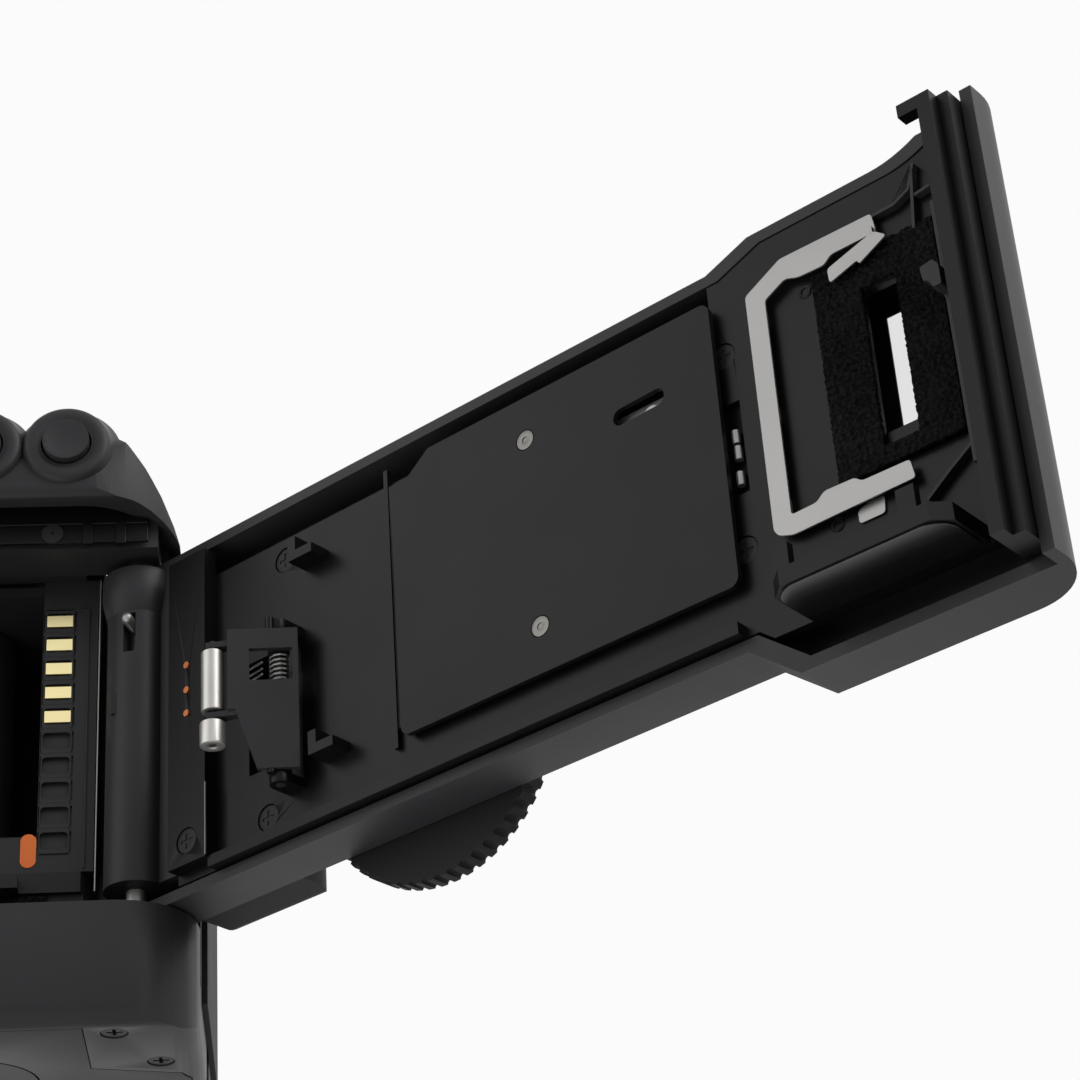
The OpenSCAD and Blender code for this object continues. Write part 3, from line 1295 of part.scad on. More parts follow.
module plate_spring() {
  color(bright_steel) on_door() slab_y([liner_y[0] + plate_pocket_depth - 2 * leaf_t,
      liner_y[0] + plate_pocket_depth]) difference() {
    union() {
      translate([plate_pocket_x[0] + leaf_w,
          leaf_z[1]]) square([plate_pocket_x[1] - plate_pocket_x[0] - 2 * leaf_w, leaf_w]);
      translate([plate_pocket_x[0] + leaf_w,
          leaf_z[2] - leaf_w]) square([plate_pocket_x[1] - plate_pocket_x[0] - 2 * leaf_w, leaf_w]);
      translate([plate_screw_at[0][0] - leaf_w, plate_pocket_z[0] + leaf_t]) square([2 * leaf_w,
          plate_pocket_z[1] - plate_pocket_z[0] - 2 * leaf_t]);
    }
    for (p = plate_screw_at) translate(p) circle(screw_shank_r + gap);
  }
  color(bright_steel) on_door() for (x = leaf_dome_x, z = [leaf_z[1] + leaf_w / 2, leaf_z[2] - leaf_w / 2])
    rod_y(x, [plate_y[1], liner_y[0] + plate_pocket_depth - leaf_t], z, leaf_dome_r);
}

// Cartridge leaf spring: a bent steel frame that steadies the cartridge
spring_y = [-1.3, -1];
spring_x = [109.8, 112.7];
spring_top = [[109.8, 63.4], [115.9, 67.3], [123, 66.6], [129.7, 66], [129.7, 63.2], [123.5, 63.4], [121,
    64.6], [116.6, 63.8], [112.7, 61.6]];
spring_low = [[109.8, 31], [109.8, 29.4], [119, 27.6], [130.2, 27.9], [130.2, 30.8], [122, 31.4], [119.6,
    30.2], [115, 30.6], [112.7, 31.8]];
spring_finger = [[121.4, 60.8], [128.6, 64.2], [131.2, 63.9], [125.4, 60.6], [124, 59.8]];
foot_x = [110.2, 112.4];
module cartridge_spring() {
  color(bright_steel) on_door() {
    slab_y(spring_y) {
      translate([spring_x[0], spring_low[0][1] - seam]) square([spring_x[1] - spring_x[0],
          spring_top[0][1] - spring_low[0][1] + 2 * seam]);
      polygon(spring_top);
      polygon(spring_low);
    }
    slab_y([spring_y[0] - 2 * leaf_t, spring_y[1] - 2 * leaf_t]) polygon(spring_finger);
    // Feet down to the liner
    for (z = [spring_top[0][1] - spring_x[1] + spring_x[0], axis_h, spring_low[0][1] + leaf_w / 2])
      span(foot_x, [spring_y[0], liner_y[0]], [z, z + leaf_w / 2]);
    span([spring_finger[0][0], spring_finger[0][0] + leaf_w / 2], [spring_y[0] - 2 * leaf_t, spring_y[1]],
        [spring_finger[0][1] + leaf_t, spring_top[6][1]]);
  }
}
foam_x = [119.6, 137];
foam_z = [32.6, 62.4];
foam_t = 0.8;
foam_hole = [[124.4, 132], [34.6, 57.4]];
foam_r = 2;
module window_foam() {
  color(foam_black) on_door() slab_y([-foam_t, 0]) difference() {
    rounded(foam_x, foam_z, foam_r);
    rounded(foam_hole[0], foam_hole[1], window_r);
  }
}
module film_window() {
  color(clear_glass) on_door() slab_y([door_y - window_step, door_y - seam])
    rounded([window_x[0] - wall + seam, window_x[1] + wall - seam], [window_z[0] - wall + seam,
        window_z[1] + wall - seam], window_r);
}

// Spring-loaded roller arm that presses the film on the spool
arm_pin = [30.8, -3];
arm_pin_r = 0.7;
arm_pin_z = [25.2, 49.4];
arm_bearing_z = [[25.2, 26.6], [48, 49.4]];
arm_bearing_r = 1.5;
arm_z = [26.9, 47.7];
arm_tip = [24.3, -9];
arm_tip_z = [30.4, 47.4];
arm_t = 0.8;
arm_tail = 2.6;
roller_big = [36.2, 45.2];
roller_big_r = 1.55;
roller_low = [31.2, 34.6];
roller_low_r = 1.75;
roller_pin_r = 0.45;
coil_z = [40.2, 44.4];
coil_r = 1.25;
wire_r = 0.16;
coil_turns = 5.5;
arm_len = norm(arm_tip - arm_pin);
arm_dir = atan2(arm_tip[1] - arm_pin[1], arm_tip[0] - arm_pin[0]);
module on_arm() {
  on_door() translate([arm_pin[0], arm_pin[1], 0]) rotate([0, 0, arm_dir]) children();
}
module roller_arm() {
  window = [arm_len * 0.1 + coil_r, arm_len * 0.3 + coil_r];
  color(black_plastic) on_arm() difference() {
    union() {
      // Plate: x runs from the pivot to the rollers
      slab_y([arm_plate_y - arm_t, arm_plate_y]) polygon([[-arm_tail, arm_z[0]], [arm_len / 3, arm_z[0]],
        [arm_len - 2 * roller_big_r, arm_z[0] + arm_len], [arm_len - roller_low_r - gap,
            arm_z[0] + arm_len],
        [arm_len - roller_low_r - gap, arm_z[1]], [-arm_tail, arm_z[1]]]);
      for (z = [[arm_z[0], coil_z[0] - gap], [coil_z[1] + gap, arm_z[1]]]) {
        translate([0, 0, z[0]]) cylinder(h = z[1] - z[0], r = arm_pin_r + arm_t);
        span([-arm_pin_r, arm_pin_r], [0, arm_plate_y], z);
      }
      // Cheeks that hold the roller pin
      for (z = [roller_big[1] + gap, (roller_low[1] + roller_big[0] - arm_t) / 2])
        translate([0, 0, z]) linear_extrude(arm_t) polygon([[arm_len - 3 * roller_big_r, arm_plate_y],
            [arm_len - 3 * roller_big_r, arm_plate_y - arm_t],
          [arm_len - roller_pin_r, -2 * roller_pin_r], [arm_len + 2 * roller_pin_r, -2 * roller_pin_r],
              [arm_len + 2 * roller_pin_r, 2 * roller_pin_r]]);
      translate([arm_len, 0,
          roller_low[0] + seam]) cylinder(h = roller_big[1] + 2 * arm_t - roller_low[0] - seam,
          r = roller_pin_r);
    }
    translate([0, 0, arm_z[0] - cut]) cylinder(h = arm_z[1] - arm_z[0] + 2 * cut, r = arm_pin_r + fit);
    span([-coil_r - 2 * wire_r - gap, window[1]], [0 - coil_r, arm_plate_y + cut], [coil_z[0] - gap,
        coil_z[1] + gap]);
  }
}
arm_plate_y = 1.9;
arm_pocket_x = [26, 36];
arm_pocket_y = 10.5;
module arm_pivot_pin() {
  color(die_cast) on_door() rod(arm_pin[0], arm_pin[1], arm_pin_z, arm_pin_r - fit / 4);
}
module roller(z, r) {
  color(bright_steel) on_arm() translate([arm_len, 0, z[0]]) difference() {
    cylinder(h = z[1] - z[0], r = r);
    translate([0, 0, -cut]) cylinder(h = z[1] - z[0] + 2 * cut, r = roller_pin_r + fit);
  }
}
// Wire swept along points: rings of side_count points, joined and capped
side_count = 6;
coil_rings = 10;
coil_leg = 3.4;
function coil_path() = concat(
  [[coil_r * cos(-150) - coil_leg, coil_r * sin(-150) - wire_r, coil_z[0] + wire_r]],
  [for (k = [0:coil_turns * coil_rings]) [coil_r * cos(-110 + k * 360 / coil_rings),
      coil_r * sin(-110 + k * 360 / coil_rings),
    coil_z[0] + wire_r + k * (coil_z[1] - coil_z[0] - 2 * wire_r) / (coil_turns * coil_rings)]],
  [[coil_r * cos(70) - coil_leg, coil_r * sin(70) + wire_r, coil_z[1] - wire_r]]);
function unit(v) = v / norm(v);
function ring_at(p, i, n) =
  let (d = unit(p[min(i + 1, n - 1)] - p[max(i - 1, 0)]), s = unit(cross(d, [0, 0, 1])), u = cross(s, d))
  [for (q = [0:side_count - 1]) p[i] + wire_r * (s * cos(q * 360 / side_count) + u * sin(q * 360 /
      side_count))];
module torsion_spring() {
  p = coil_path();
  n = len(p);
  pts = [for (i = [0:n - 1]) each ring_at(p, i, n)];
  sides = [for (i = [0:n - 2], q = [0:side_count - 1]) let (a = i * side_count + q,
      b = i * side_count + (q + 1) % side_count)
    each [[a, b, b + side_count], [a, b + side_count, a + side_count]]];
  caps = [[for (q = [side_count - 1:-1:0]) q], [for (q = [0:side_count - 1]) (n - 1) * side_count + q]];
  color(bright_steel) on_door() translate([arm_pin[0], arm_pin[1], 0]) polyhedron(points = pts,
      faces = concat(sides, caps));
}

// Latch slide beside the tongue
latch_x = [138.3, 139.6];
latch_y = [-3.6, 1];
latch_z = [26, 62];
latch_travel = 3;
latch_hook_z = [48.6];
latch_hook = [1.6, 3, 4.4];
module latch_slide() {
  color(die_cast) on_door() {
    span(latch_x, latch_y, latch_z);
    for (z = latch_hook_z) span([latch_x[0] - latch_hook[0], latch_x[0]],
        [latch_y[0] - latch_hook[1] + seam, latch_y[0] + latch_hook[1] / 2],
      [z, z + latch_hook[2]]);
  }
}
// Release pin of the hinge, with its knob
knob_r = 0.8;
knob_reach = 5.4;
knob_z = 61;
release_pin_z = [52, 73.4];
module hinge_release_pin() {
  color(bright_steel) on_door() {
    rod(0, 0, release_pin_z, hinge_pin_r);
    rotate([0, 90, knob_turn]) translate([-knob_z, 0, 0]) cylinder(h = knob_reach, r = knob_r);
    rotate([0, 0, knob_turn]) translate([knob_reach, 0, knob_z]) sphere(knob_r);
  }
}
// Thumb ridge on the outside of the door
thumb_x = [5, 24.2];
thumb_y = 14.9;
thumb_z = [17.4, 66];
thumb_r = 4.5;
thumb_fall = 9;
module thumb_rest() {
  color(black_rubber) on_door() intersection() {
    translate([0, 0, thumb_z[0]]) linear_extrude(thumb_z[1] - thumb_z[0]) polygon(concat(
      [[thumb_x[0], door_y]], arc([thumb_x[0] + thumb_r / 2, thumb_y - thumb_r / 2], thumb_r / 2, 180, 90),
      arc([thumb_x[1] - thumb_r, thumb_y - thumb_r], thumb_r, 90, 0), [[thumb_x[1], door_y]]));
    slab_x([0, thumb_x[1] + cut]) polygon(concat(
      [[door_y, thumb_z[0]]], arc([thumb_y - thumb_r / 2, thumb_z[0] + thumb_r / 2], thumb_r / 2, -90, 0),
      oval([door_y, thumb_z[1] - thumb_fall], [thumb_y - door_y, thumb_fall], 0, 90)));
  }
}

chassis();
mirror_box();
shutter_frame();
front_shell();
top_cover();
bottom_cover();
hand_grip();
grip_rubber();
battery();
tripod_socket();
lens_mount_ring();
body_screws();
focusing_screen();
pentaprism();
eyepiece_lens();
eyecup();
contact_strip();
gold_contacts();
cartridge_contacts();
light_seals();
display_window();
accessory_shoe();
strap_lugs();
lower_hinge_pin();
grip_screw();
lens_release_button();
lens_lock_pin();
main_mirror();
sub_mirror();
shutter_blade(0);  // shutter_blade_1
shutter_blade(1);  // shutter_blade_2
shutter_blade(2);  // shutter_blade_3
take_up_spool();
rewind_fork();
shutter_button();
main_dial();
top_button(0);  // mode_button
top_button(1);  // metering_button
rear_button(0);  // exposure_lock_button
rear_button(1);  // focus_point_button
power_lever();
door_shell();
door_liner();
plate_spring();
plate_screws();
cartridge_spring();
window_foam();
film_window();
arm_pivot_pin();
torsion_spring();
door_contact_pins();
liner_screws();
thumb_rest();
pressure_plate();
roller_arm();
roller(roller_big, roller_big_r);  // large_roller
roller(roller_low, roller_low_r);  // small_roller
latch_slide();
hinge_release_pin();
rear_dial();
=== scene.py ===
"""Film SLR camera with its film door swung open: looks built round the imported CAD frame."""

import json
import logging
import math
from dataclasses import dataclass, field
from enum import Enum
from typing import Sequence

import bmesh
import bpy
from mathutils import Matrix, Vector, noise

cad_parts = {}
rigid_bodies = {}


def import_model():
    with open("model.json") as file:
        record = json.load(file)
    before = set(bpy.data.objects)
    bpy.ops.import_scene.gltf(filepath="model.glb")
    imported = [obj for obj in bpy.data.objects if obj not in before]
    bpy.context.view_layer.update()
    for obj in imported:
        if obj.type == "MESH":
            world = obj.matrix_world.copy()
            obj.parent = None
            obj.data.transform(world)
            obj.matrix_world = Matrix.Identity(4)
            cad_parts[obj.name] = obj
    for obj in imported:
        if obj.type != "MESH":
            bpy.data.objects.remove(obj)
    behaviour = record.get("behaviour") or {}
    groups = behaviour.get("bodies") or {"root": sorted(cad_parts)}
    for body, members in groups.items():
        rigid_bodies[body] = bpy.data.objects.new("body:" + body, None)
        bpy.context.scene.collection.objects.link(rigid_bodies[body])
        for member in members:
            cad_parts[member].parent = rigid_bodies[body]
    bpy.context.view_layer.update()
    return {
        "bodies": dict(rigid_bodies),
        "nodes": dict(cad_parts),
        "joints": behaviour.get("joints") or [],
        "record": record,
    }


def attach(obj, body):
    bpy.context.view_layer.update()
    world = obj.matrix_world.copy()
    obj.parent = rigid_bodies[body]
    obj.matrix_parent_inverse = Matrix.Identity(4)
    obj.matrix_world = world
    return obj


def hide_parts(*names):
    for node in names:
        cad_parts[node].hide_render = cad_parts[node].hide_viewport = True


logging.basicConfig(level=logging.INFO, format="%(name)s: %(message)s")
LOG = logging.getLogger("film_camera")

MM = 0.001
Point = tuple[float, float, float]
Pair = tuple[float, float]
Outline = tuple[Pair, ...]

HINGE_MM = (-77.5, 18.0)  # axis of the film door, row x and y
DOOR_OPEN = math.radians(136.4)
BUTTON_X = (-67.9, -55.4)  # middles of the two rear buttons
BUTTON_Z = 84.1
BUMP_MM = 0.1  # height of the finest grain
GRAIN_DETAIL = 2.0
BROAD_SCALE = 90.0  # uneven patches of a surface, per metre
BROAD_DETAIL = 3.0
FOAM_CONTRAST = (0.45, 0.68)  # noise values of the darkest and palest foam
EDGE_SEGMENTS = 2
EDGE_ANGLE_DEG = 35.0  # a piece's edges steeper than this are rounded


class Body(str, Enum):
    """CAD bodies that the pieces ride on."""

    CAMERA = "camera_body"
    DOOR = "film_door"
    ARM = "film_roller_arm"
    LATCH = "door_latch"


@dataclass(frozen=True)
class Finish:
    """A procedural surface finish.

    Args:
        name: Material name.
        color: Base colour, linear RGB.
        roughness: Mean roughness.
        metallic: 0 for plastics, 1 for metals.
        grain_mm: Size of the surface grain in mm.
        grain_depth: Bump strength of the grain, 0 to 1.
        vary: Share by which colour and roughness vary over the surface.
        brushed: Stretch of the grain along Z, for brushed metal.
        specular: Specular level of the dielectric.
        alpha: Opacity.
        transmission: Transmission weight for glass.
        speckle: Lets the fine grain drive the colour, for open foam.
    """

    name: str
    color: tuple[float, float, float]
    roughness: float = 0.5
    metallic: float = 0.0
    grain_mm: float = 0.25
    grain_depth: float = 0.1
    vary: float = 0.15
    brushed: float = 1.0
    specular: float = 0.5
    alpha: float = 1.0
    transmission: float = 0.0
    speckle: bool = False

    def build(self) -> bpy.types.Material:
        """Makes the material.

        Returns:
            The Blender material, with noise on Object coordinates.
        """
        found = bpy.data.materials.get(f"look_{self.name}")
        if found:
            return found
        mat = bpy.data.materials.new(f"look_{self.name}")
        mat.use_nodes = True
        tree = mat.node_tree
        tree.nodes.clear()
        out = tree.nodes.new("ShaderNodeOutputMaterial")
        bsdf = tree.nodes.new("ShaderNodeBsdfPrincipled")
        coord = tree.nodes.new("ShaderNodeTexCoord")
        mapping = tree.nodes.new("ShaderNodeMapping")
        fine = tree.nodes.new("ShaderNodeTexNoise")
        broad = tree.nodes.new("ShaderNodeTexNoise")
        bump = tree.nodes.new("ShaderNodeBump")
        tint = tree.nodes.new("ShaderNodeMix")
        rough = tree.nodes.new("ShaderNodeMapRange")
        mapping.inputs["Scale"].default_value = (1.0, 1.0, 1.0 / self.brushed)
        fine.inputs["Scale"].default_value = 1.0 / (self.grain_mm * MM)
        fine.inputs["Detail"].default_value = GRAIN_DETAIL
        broad.inputs["Scale"].default_value = BROAD_SCALE
        broad.inputs["Detail"].default_value = BROAD_DETAIL
        bump.inputs["Strength"].default_value = self.grain_depth
        bump.inputs["Distance"].default_value = BUMP_MM * MM
        tint.data_type = "RGBA"
        low = [c * (1.0 - self.vary) for c in self.color]
        high = [min(1.0, c * (1.0 + self.vary)) for c in self.color]
        tint.inputs[6].default_value = (*low, 1.0)
        tint.inputs[7].default_value = (*high, 1.0)
        rough.inputs["To Min"].default_value = max(0.02, self.roughness * (1.0 - self.vary))
        rough.inputs["To Max"].default_value = min(1.0, self.roughness * (1.0 + self.vary))
        bsdf.inputs["Metallic"].default_value = self.metallic
        bsdf.inputs["Specular IOR Level"].default_value = self.specular
        bsdf.inputs["Alpha"].default_value = self.alpha
        bsdf.inputs["Transmission Weight"].default_value = self.transmission
        link = tree.links.new
        link(coord.outputs["Object"], mapping.inputs["Vector"])
        link(mapping.outputs["Vector"], fine.inputs["Vector"])
        link(coord.outputs["Object"], broad.inputs["Vector"])
        link(fine.outputs["Fac"], bump.inputs["Height"])
        if self.speckle:
            contrast = tree.nodes.new("ShaderNodeMapRange")
            contrast.inputs["From Min"].default_value = FOAM_CONTRAST[0]
            contrast.inputs["From Max"].default_value = FOAM_CONTRAST[1]
            link(fine.outputs["Fac"], contrast.inputs["Value"])
            link(contrast.outputs["Result"], tint.inputs[0])
        else:
            link(broad.outputs["Fac"], tint.inputs[0])
        link(broad.outputs["Fac"], rough.inputs["Value"])
        link(tint.outputs[2], bsdf.inputs["Base Color"])
        link(rough.outputs["Result"], bsdf.inputs["Roughness"])
        link(bump.outputs["Normal"], bsdf.inputs["Normal"])
        link(bsdf.outputs["BSDF"], out.inputs["Surface"])
        return mat


class Finishes:
    """All finishes of the camera."""

    moulded = Finish("moulded_black", (0.033, 0.0335, 0.0356), 0.44, grain_mm=0.22, grain_depth=0.22,
                     specular=0.16)
    smooth = Finish("smooth_black", (0.0034, 0.0035, 0.0038), 0.36, grain_mm=0.4, grain_depth=0.06,
                    specular=0.14)
    rubber = Finish("black_rubber", (0.014, 0.014, 0.0148), 0.62, grain_mm=0.5, grain_depth=0.35,
                    specular=0.14)
    casting = Finish("die_casting", (0.024, 0.0242, 0.0255), 0.46, grain_mm=0.3, grain_depth=0.2,
                     specular=0.14)
    plate = Finish("plate_black", (0.0045, 0.0046, 0.0049), 0.38, grain_mm=0.2, grain_depth=0.04,
                   specular=0.14)
    steel = Finish("bright_steel", (0.28, 0.276, 0.268), 0.46, 0.85, 0.12, 0.06, brushed=8.0)
    chrome = Finish("chromed_steel", (0.42, 0.41, 0.39), 0.42, 0.9, 0.3, 0.03)
    gold = Finish("gold_contact", (1.0, 0.8, 0.42), 0.3, 0.85, 0.2, 0.05)
    copper = Finish("copper_contact", (0.5, 0.16, 0.06), 0.35, 0.9, 0.2, 0.05)
    gloss = Finish("gloss_black", (0.008, 0.008, 0.0085), 0.2, grain_mm=0.4, grain_depth=0.03, specular=0.5)
    foam = Finish("black_foam", (0.0052, 0.0052, 0.0056), 0.95, grain_mm=0.42, grain_depth=1.0, vary=0.95,
                  specular=0.03, speckle=True)
    glass = Finish("optical_glass", (0.9, 0.95, 0.96), 0.04, grain_depth=0.0, vary=0.03,
                   transmission=1.0)
    smoked = Finish("smoked_window", (0.3, 0.31, 0.33), 0.05, grain_depth=0.0, vary=0.1, alpha=0.12)
    screw = Finish("screw_steel", (0.16, 0.155, 0.145), 0.4, 0.9, 0.12, 0.08)
    mirror = Finish("mirror_silver", (0.9, 0.9, 0.92), 0.03, 1.0, 0.5, 0.0, vary=0.02)
    orange = Finish("orange_mark", (1.0, 0.2, 0.035), 0.5, grain_mm=0.3, grain_depth=0.05)
    # Painted shade: a near-black finish for thin sheets placed where the brow's hollow and the window's pit
    # fall into shadow.
    hollow = Finish("painted_hollow_shade", (0.003, 0.003, 0.0032), 0.5, grain_mm=0.3, grain_depth=0.1,
                    specular=0.15)
    battery = Finish("battery_case", (0.05, 0.05, 0.053), 0.45, grain_mm=0.3, grain_depth=0.15)


SLOT_FINISH: dict[str, Finish] = {
    "moulded_black": Finishes.moulded, "black_rubber": Finishes.rubber, "die_casting": Finishes.casting,
    "bright_steel": Finishes.steel, "chromed_steel": Finishes.chrome, "gold_contact": Finishes.gold,
    "copper_contact": Finishes.copper, "black_foam": Finishes.foam, "optical_glass": Finishes.glass,
    "smoked_window": Finishes.smoked, "mirror_silver": Finishes.mirror, "battery_case": Finishes.battery,
}
NODE_FINISH: dict[str, Finish] = {
    "pressure_plate": Finishes.plate, "door_liner": Finishes.smooth, "plate_screws": Finishes.screw,
    "rear_dial": Finishes.rubber, "thumb_rest": Finishes.rubber,
}


def smooth_group(angle_deg: float) -> bpy.types.NodeTree:
    """Makes a node group that shades smooth and keeps the steep edges sharp.

    Args:
        angle_deg: Edges steeper than this stay sharp.

    Returns:
        The geometry node group.
    """
    tree = bpy.data.node_groups.new("smooth_shading", "GeometryNodeTree")
    tree.interface.new_socket("Geometry", in_out="INPUT", socket_type="NodeSocketGeometry")
    tree.interface.new_socket("Geometry", in_out="OUTPUT", socket_type="NodeSocketGeometry")
    source = tree.nodes.new("NodeGroupInput")
    target = tree.nodes.new("NodeGroupOutput")
    faces = tree.nodes.new("GeometryNodeSetShadeSmooth")
    edges = tree.nodes.new("GeometryNodeSetShadeSmooth")
    angle = tree.nodes.new("GeometryNodeInputMeshEdgeAngle")
    flat = tree.nodes.new("FunctionNodeCompare")
    edges.domain = "EDGE"
    flat.operation = "LESS_THAN"
    flat.inputs[1].default_value = math.radians(angle_deg)
    link = tree.links.new
    link(source.outputs[0], faces.inputs["Geometry"])
    link(faces.outputs["Geometry"], edges.inputs["Geometry"])
    link(angle.outputs["Unsigned Angle"], flat.inputs[0])
    link(flat.outputs["Result"], edges.inputs["Shade Smooth"])
    link(edges.outputs["Geometry"], target.inputs[0])
    return tree


@dataclass
class CadDress:
    """Gives every shown CAD node its finish and a small edge radius.

    Args:
        bevel_mm: Radius of the edges.
        segments: Steps in each edge.
        soft_mm: Radius of the edges of the moulded covers.
        smooth_deg: Edges flatter than this are shaded smooth.
        weld_mm: Points closer than this count as one.
        edge_deg: Edges steeper than this get the edge radius.
        soft_deg: The same for the moulded covers.
        soft: Nodes with the soft edges.
        plain: Nodes that keep their edges sharp. The pressure plate and its spring meet when rounded.
    """

    bevel_mm: float = 0.22
    segments: int = 2
    soft_mm: float = 0.9
    smooth_deg: float = 36.0
    weld_mm: float = 0.002
    edge_deg: float = 40.0
    soft_deg: float = 36.0
    soft: tuple[str, ...] = ("top_cover", "bottom_cover", "hand_grip")
    plain: tuple[str, ...] = (
        "torsion_spring", "gold_contacts", "door_contact_pins", "optical_glass", "plate_spring",
        "pressure_plate", "window_foam", "sub_mirror", "shutter_blade_1", "shutter_blade_2",
        "shutter_blade_3")

    def build(self, frame: dict) -> None:
        """Dresses the nodes.
        """
        slots = {s["node"]: s["material_slot"] for s in frame["record"]["subparts"]}
        smoothing = smooth_group(self.smooth_deg)
        for name, obj in frame["nodes"].items():
            finish = NODE_FINISH.get(name, SLOT_FINISH[slots[name]])
            obj.data.materials.clear()
            obj.data.materials.append(finish.build())
            if name in self.plain:
                continue
            soft = name in self.soft
            weld = obj.modifiers.new("weld", "WELD")
            weld.merge_threshold = self.weld_mm * MM
            mod = obj.modifiers.new("edge_radius", "BEVEL")
            mod.width = (self.soft_mm if soft else self.bevel_mm) * MM
            mod.segments = self.segments + int(soft)
            mod.limit_method = "ANGLE"
            mod.angle_limit = math.radians(self.soft_deg if soft else self.edge_deg)
            shade = obj.modifiers.new("smooth_shading", "NODES")
            shade.node_group = smoothing
            weigh = obj.modifiers.new("even_normals", "WEIGHTED_NORMAL")
            weigh.keep_sharp = True
            weigh.mode = "CORNER_ANGLE" if soft else "FACE_AREA"
        LOG.info("dressed %d CAD nodes", len(frame["nodes"]))


def row_space() -> Matrix:
    """Gives the matrix from row millimetres to row metres.

    Returns:
        The scaling matrix.
    """
    return Matrix.Scale(MM, 4)


def door_space() -> Matrix:
    """Gives the matrix from the door's own millimetres to row metres.

    Returns:
        The matrix: x runs from the hinge to the free end, y outwards, z up.
    """
    place = Matrix.Translation((*HINGE_MM, 0.0)) @ Matrix.Rotation(DOOR_OPEN, 4, "Z")
    return row_space() @ place


@dataclass
class Piece:
    """One finished mesh that rides on a CAD body.

    Args:
        name: Object name.
        finish: Its surface finish.
        body: CAD body that it moves with.
        slot: Material slot of the record; not used.
        space: Matrix from its own millimetres to row metres.
        stands_for: CAD nodes that it replaces.
        edge_mm: Radius of its edges, 0 to keep them sharp.
        mesh: The mesh while it is being built.
    """

    name: str
    finish: Finish
    body: Body
    slot: str
    space: Matrix
    stands_for: tuple[str, ...] = ()
    edge_mm: float = 0.12
    mesh: bmesh.types.BMesh = field(default_factory=bmesh.new)

    def slab(self, outline: Sequence[Pair], y: Pair) -> None:
        """Draws an outline in x and z out along y.

        Args:
            outline: Corner points in millimetres.
            y: First and last y.
        """
        verts = [self.mesh.verts.new((px, y[0], pz)) for px, pz in outline]
        face = self.mesh.faces.new(verts)
        grown = bmesh.ops.extrude_face_region(self.mesh, geom=[face])
        moved = [g for g in grown["geom"] if isinstance(g, bmesh.types.BMVert)]
        bmesh.ops.translate(self.mesh, verts=moved, vec=(0.0, y[1] - y[0], 0.0))

    def box(self, lo: Point, hi: Point) -> None:
        """Adds a box between two corners in millimetres.

        Args:
            lo: Lowest corner.
            hi: Highest corner.
        """
        size = [b - a for a, b in zip(lo, hi)]
        middle = [(a + b) / 2 for a, b in zip(lo, hi)]
        place = Matrix.Translation(middle) @ Matrix.Diagonal((*size, 1.0))
        bmesh.ops.create_cube(self.mesh, size=1.0, matrix=place)

    def rod(self, at: Point, radius: float, length: float, turn: Matrix) -> None:
        """Adds a rod whose middle is at a point.

        Args:
            at: Its middle in millimetres.
            radius: Its radius.
            length: Its length.
            turn: Turns it from standing along z.
        """
        bmesh.ops.create_cone(self.mesh, cap_ends=True, segments=48, radius1=radius, radius2=radius,
                              depth=length, matrix=Matrix.Translation(at) @ turn)

    def lathe(self, profile: Sequence[Pair], at: Point, turn: Matrix, steps: int = 64) -> None:
        """Spins a profile of radius and height about its own z axis.

        Args:
            profile: Points as radius and height.
            at: Origin of the profile in millimetres.
            turn: Turns the axis from standing along z.
            steps: Steps round the full turn.
        """
        before = set(self.mesh.verts)
        verts = [self.mesh.verts.new((r, 0.0, h)) for r, h in profile]
        edges = [self.mesh.edges.new(pair) for pair in zip(verts, verts[1:])]
        bmesh.ops.spin(self.mesh, geom=verts + edges, cent=(0, 0, 0), axis=(0, 0, 1),
                       angle=2 * math.pi, steps=steps, use_merge=True)
        fresh = [v for v in self.mesh.verts if v not in before]
        bmesh.ops.transform(self.mesh, matrix=Matrix.Translation(at) @ turn, verts=fresh)

    def close(self) -> bpy.types.Object:
        """Makes the object, puts it on its body and logs it.

        Returns:
            The finished object.
        """
        bmesh.ops.recalc_face_normals(self.mesh, faces=self.mesh.faces)
        self.mesh.transform(self.space)
        for face in self.mesh.faces:
            face.smooth = True
        mesh = bpy.data.meshes.new(self.name)
        self.mesh.to_mesh(mesh)
        self.mesh.free()
        mesh.materials.append(self.finish.build())
        obj = bpy.data.objects.new(self.name, mesh)
        bpy.context.scene.collection.objects.link(obj)
        if self.edge_mm:
            mod = obj.modifiers.new("edge_radius", "BEVEL")
            mod.width = self.edge_mm * MM
            mod.segments = EDGE_SEGMENTS
            mod.limit_method = "ANGLE"
            mod.angle_limit = math.radians(EDGE_ANGLE_DEG)
            mod.harden_normals = True
        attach(obj, self.body.value)
        if self.stands_for:
            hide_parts(*self.stands_for)
        LOG.info("piece %s on %s", self.name, self.body.value)
        return obj


def round_outline(points: Sequence[Pair], radius: float, steps: int = 4) -> list[Pair]:
    """Rounds the corners of an outline.

    Args:
        points: Corner points.
        radius: Largest length that is cut from each side at a corner.
        steps: Steps in each corner.

    Returns:
        The rounded outline.
    """
    out = []
    count = len(points)
    for i, here in enumerate(points):
        here_v = Vector(here)
        before = Vector(points[i - 1]) - here_v
        after = Vector(points[(i + 1) % count]) - here_v
        reach = min(radius, before.length * 0.45, after.length * 0.45)
        start, end = here_v + before.normalized() * reach, here_v + after.normalized() * reach
        for k in range(steps + 1):
            t = k / steps
            out.append(tuple((1 - t) ** 2 * start + 2 * t * (1 - t) * here_v + t * t * end))
    return out


def upright(axis: str) -> Matrix:
    """Turns a standing rod along an axis.

    Args:
        axis: "X", "Y" or "Z".

    Returns:
        The turning matrix.
    """
    turns = {"X": (math.pi / 2, "Y"), "Y": (-math.pi / 2, "X"), "Z": (0.0, "Z")}
    angle, about = turns[axis]
    return Matrix.Rotation(angle, 4, about)


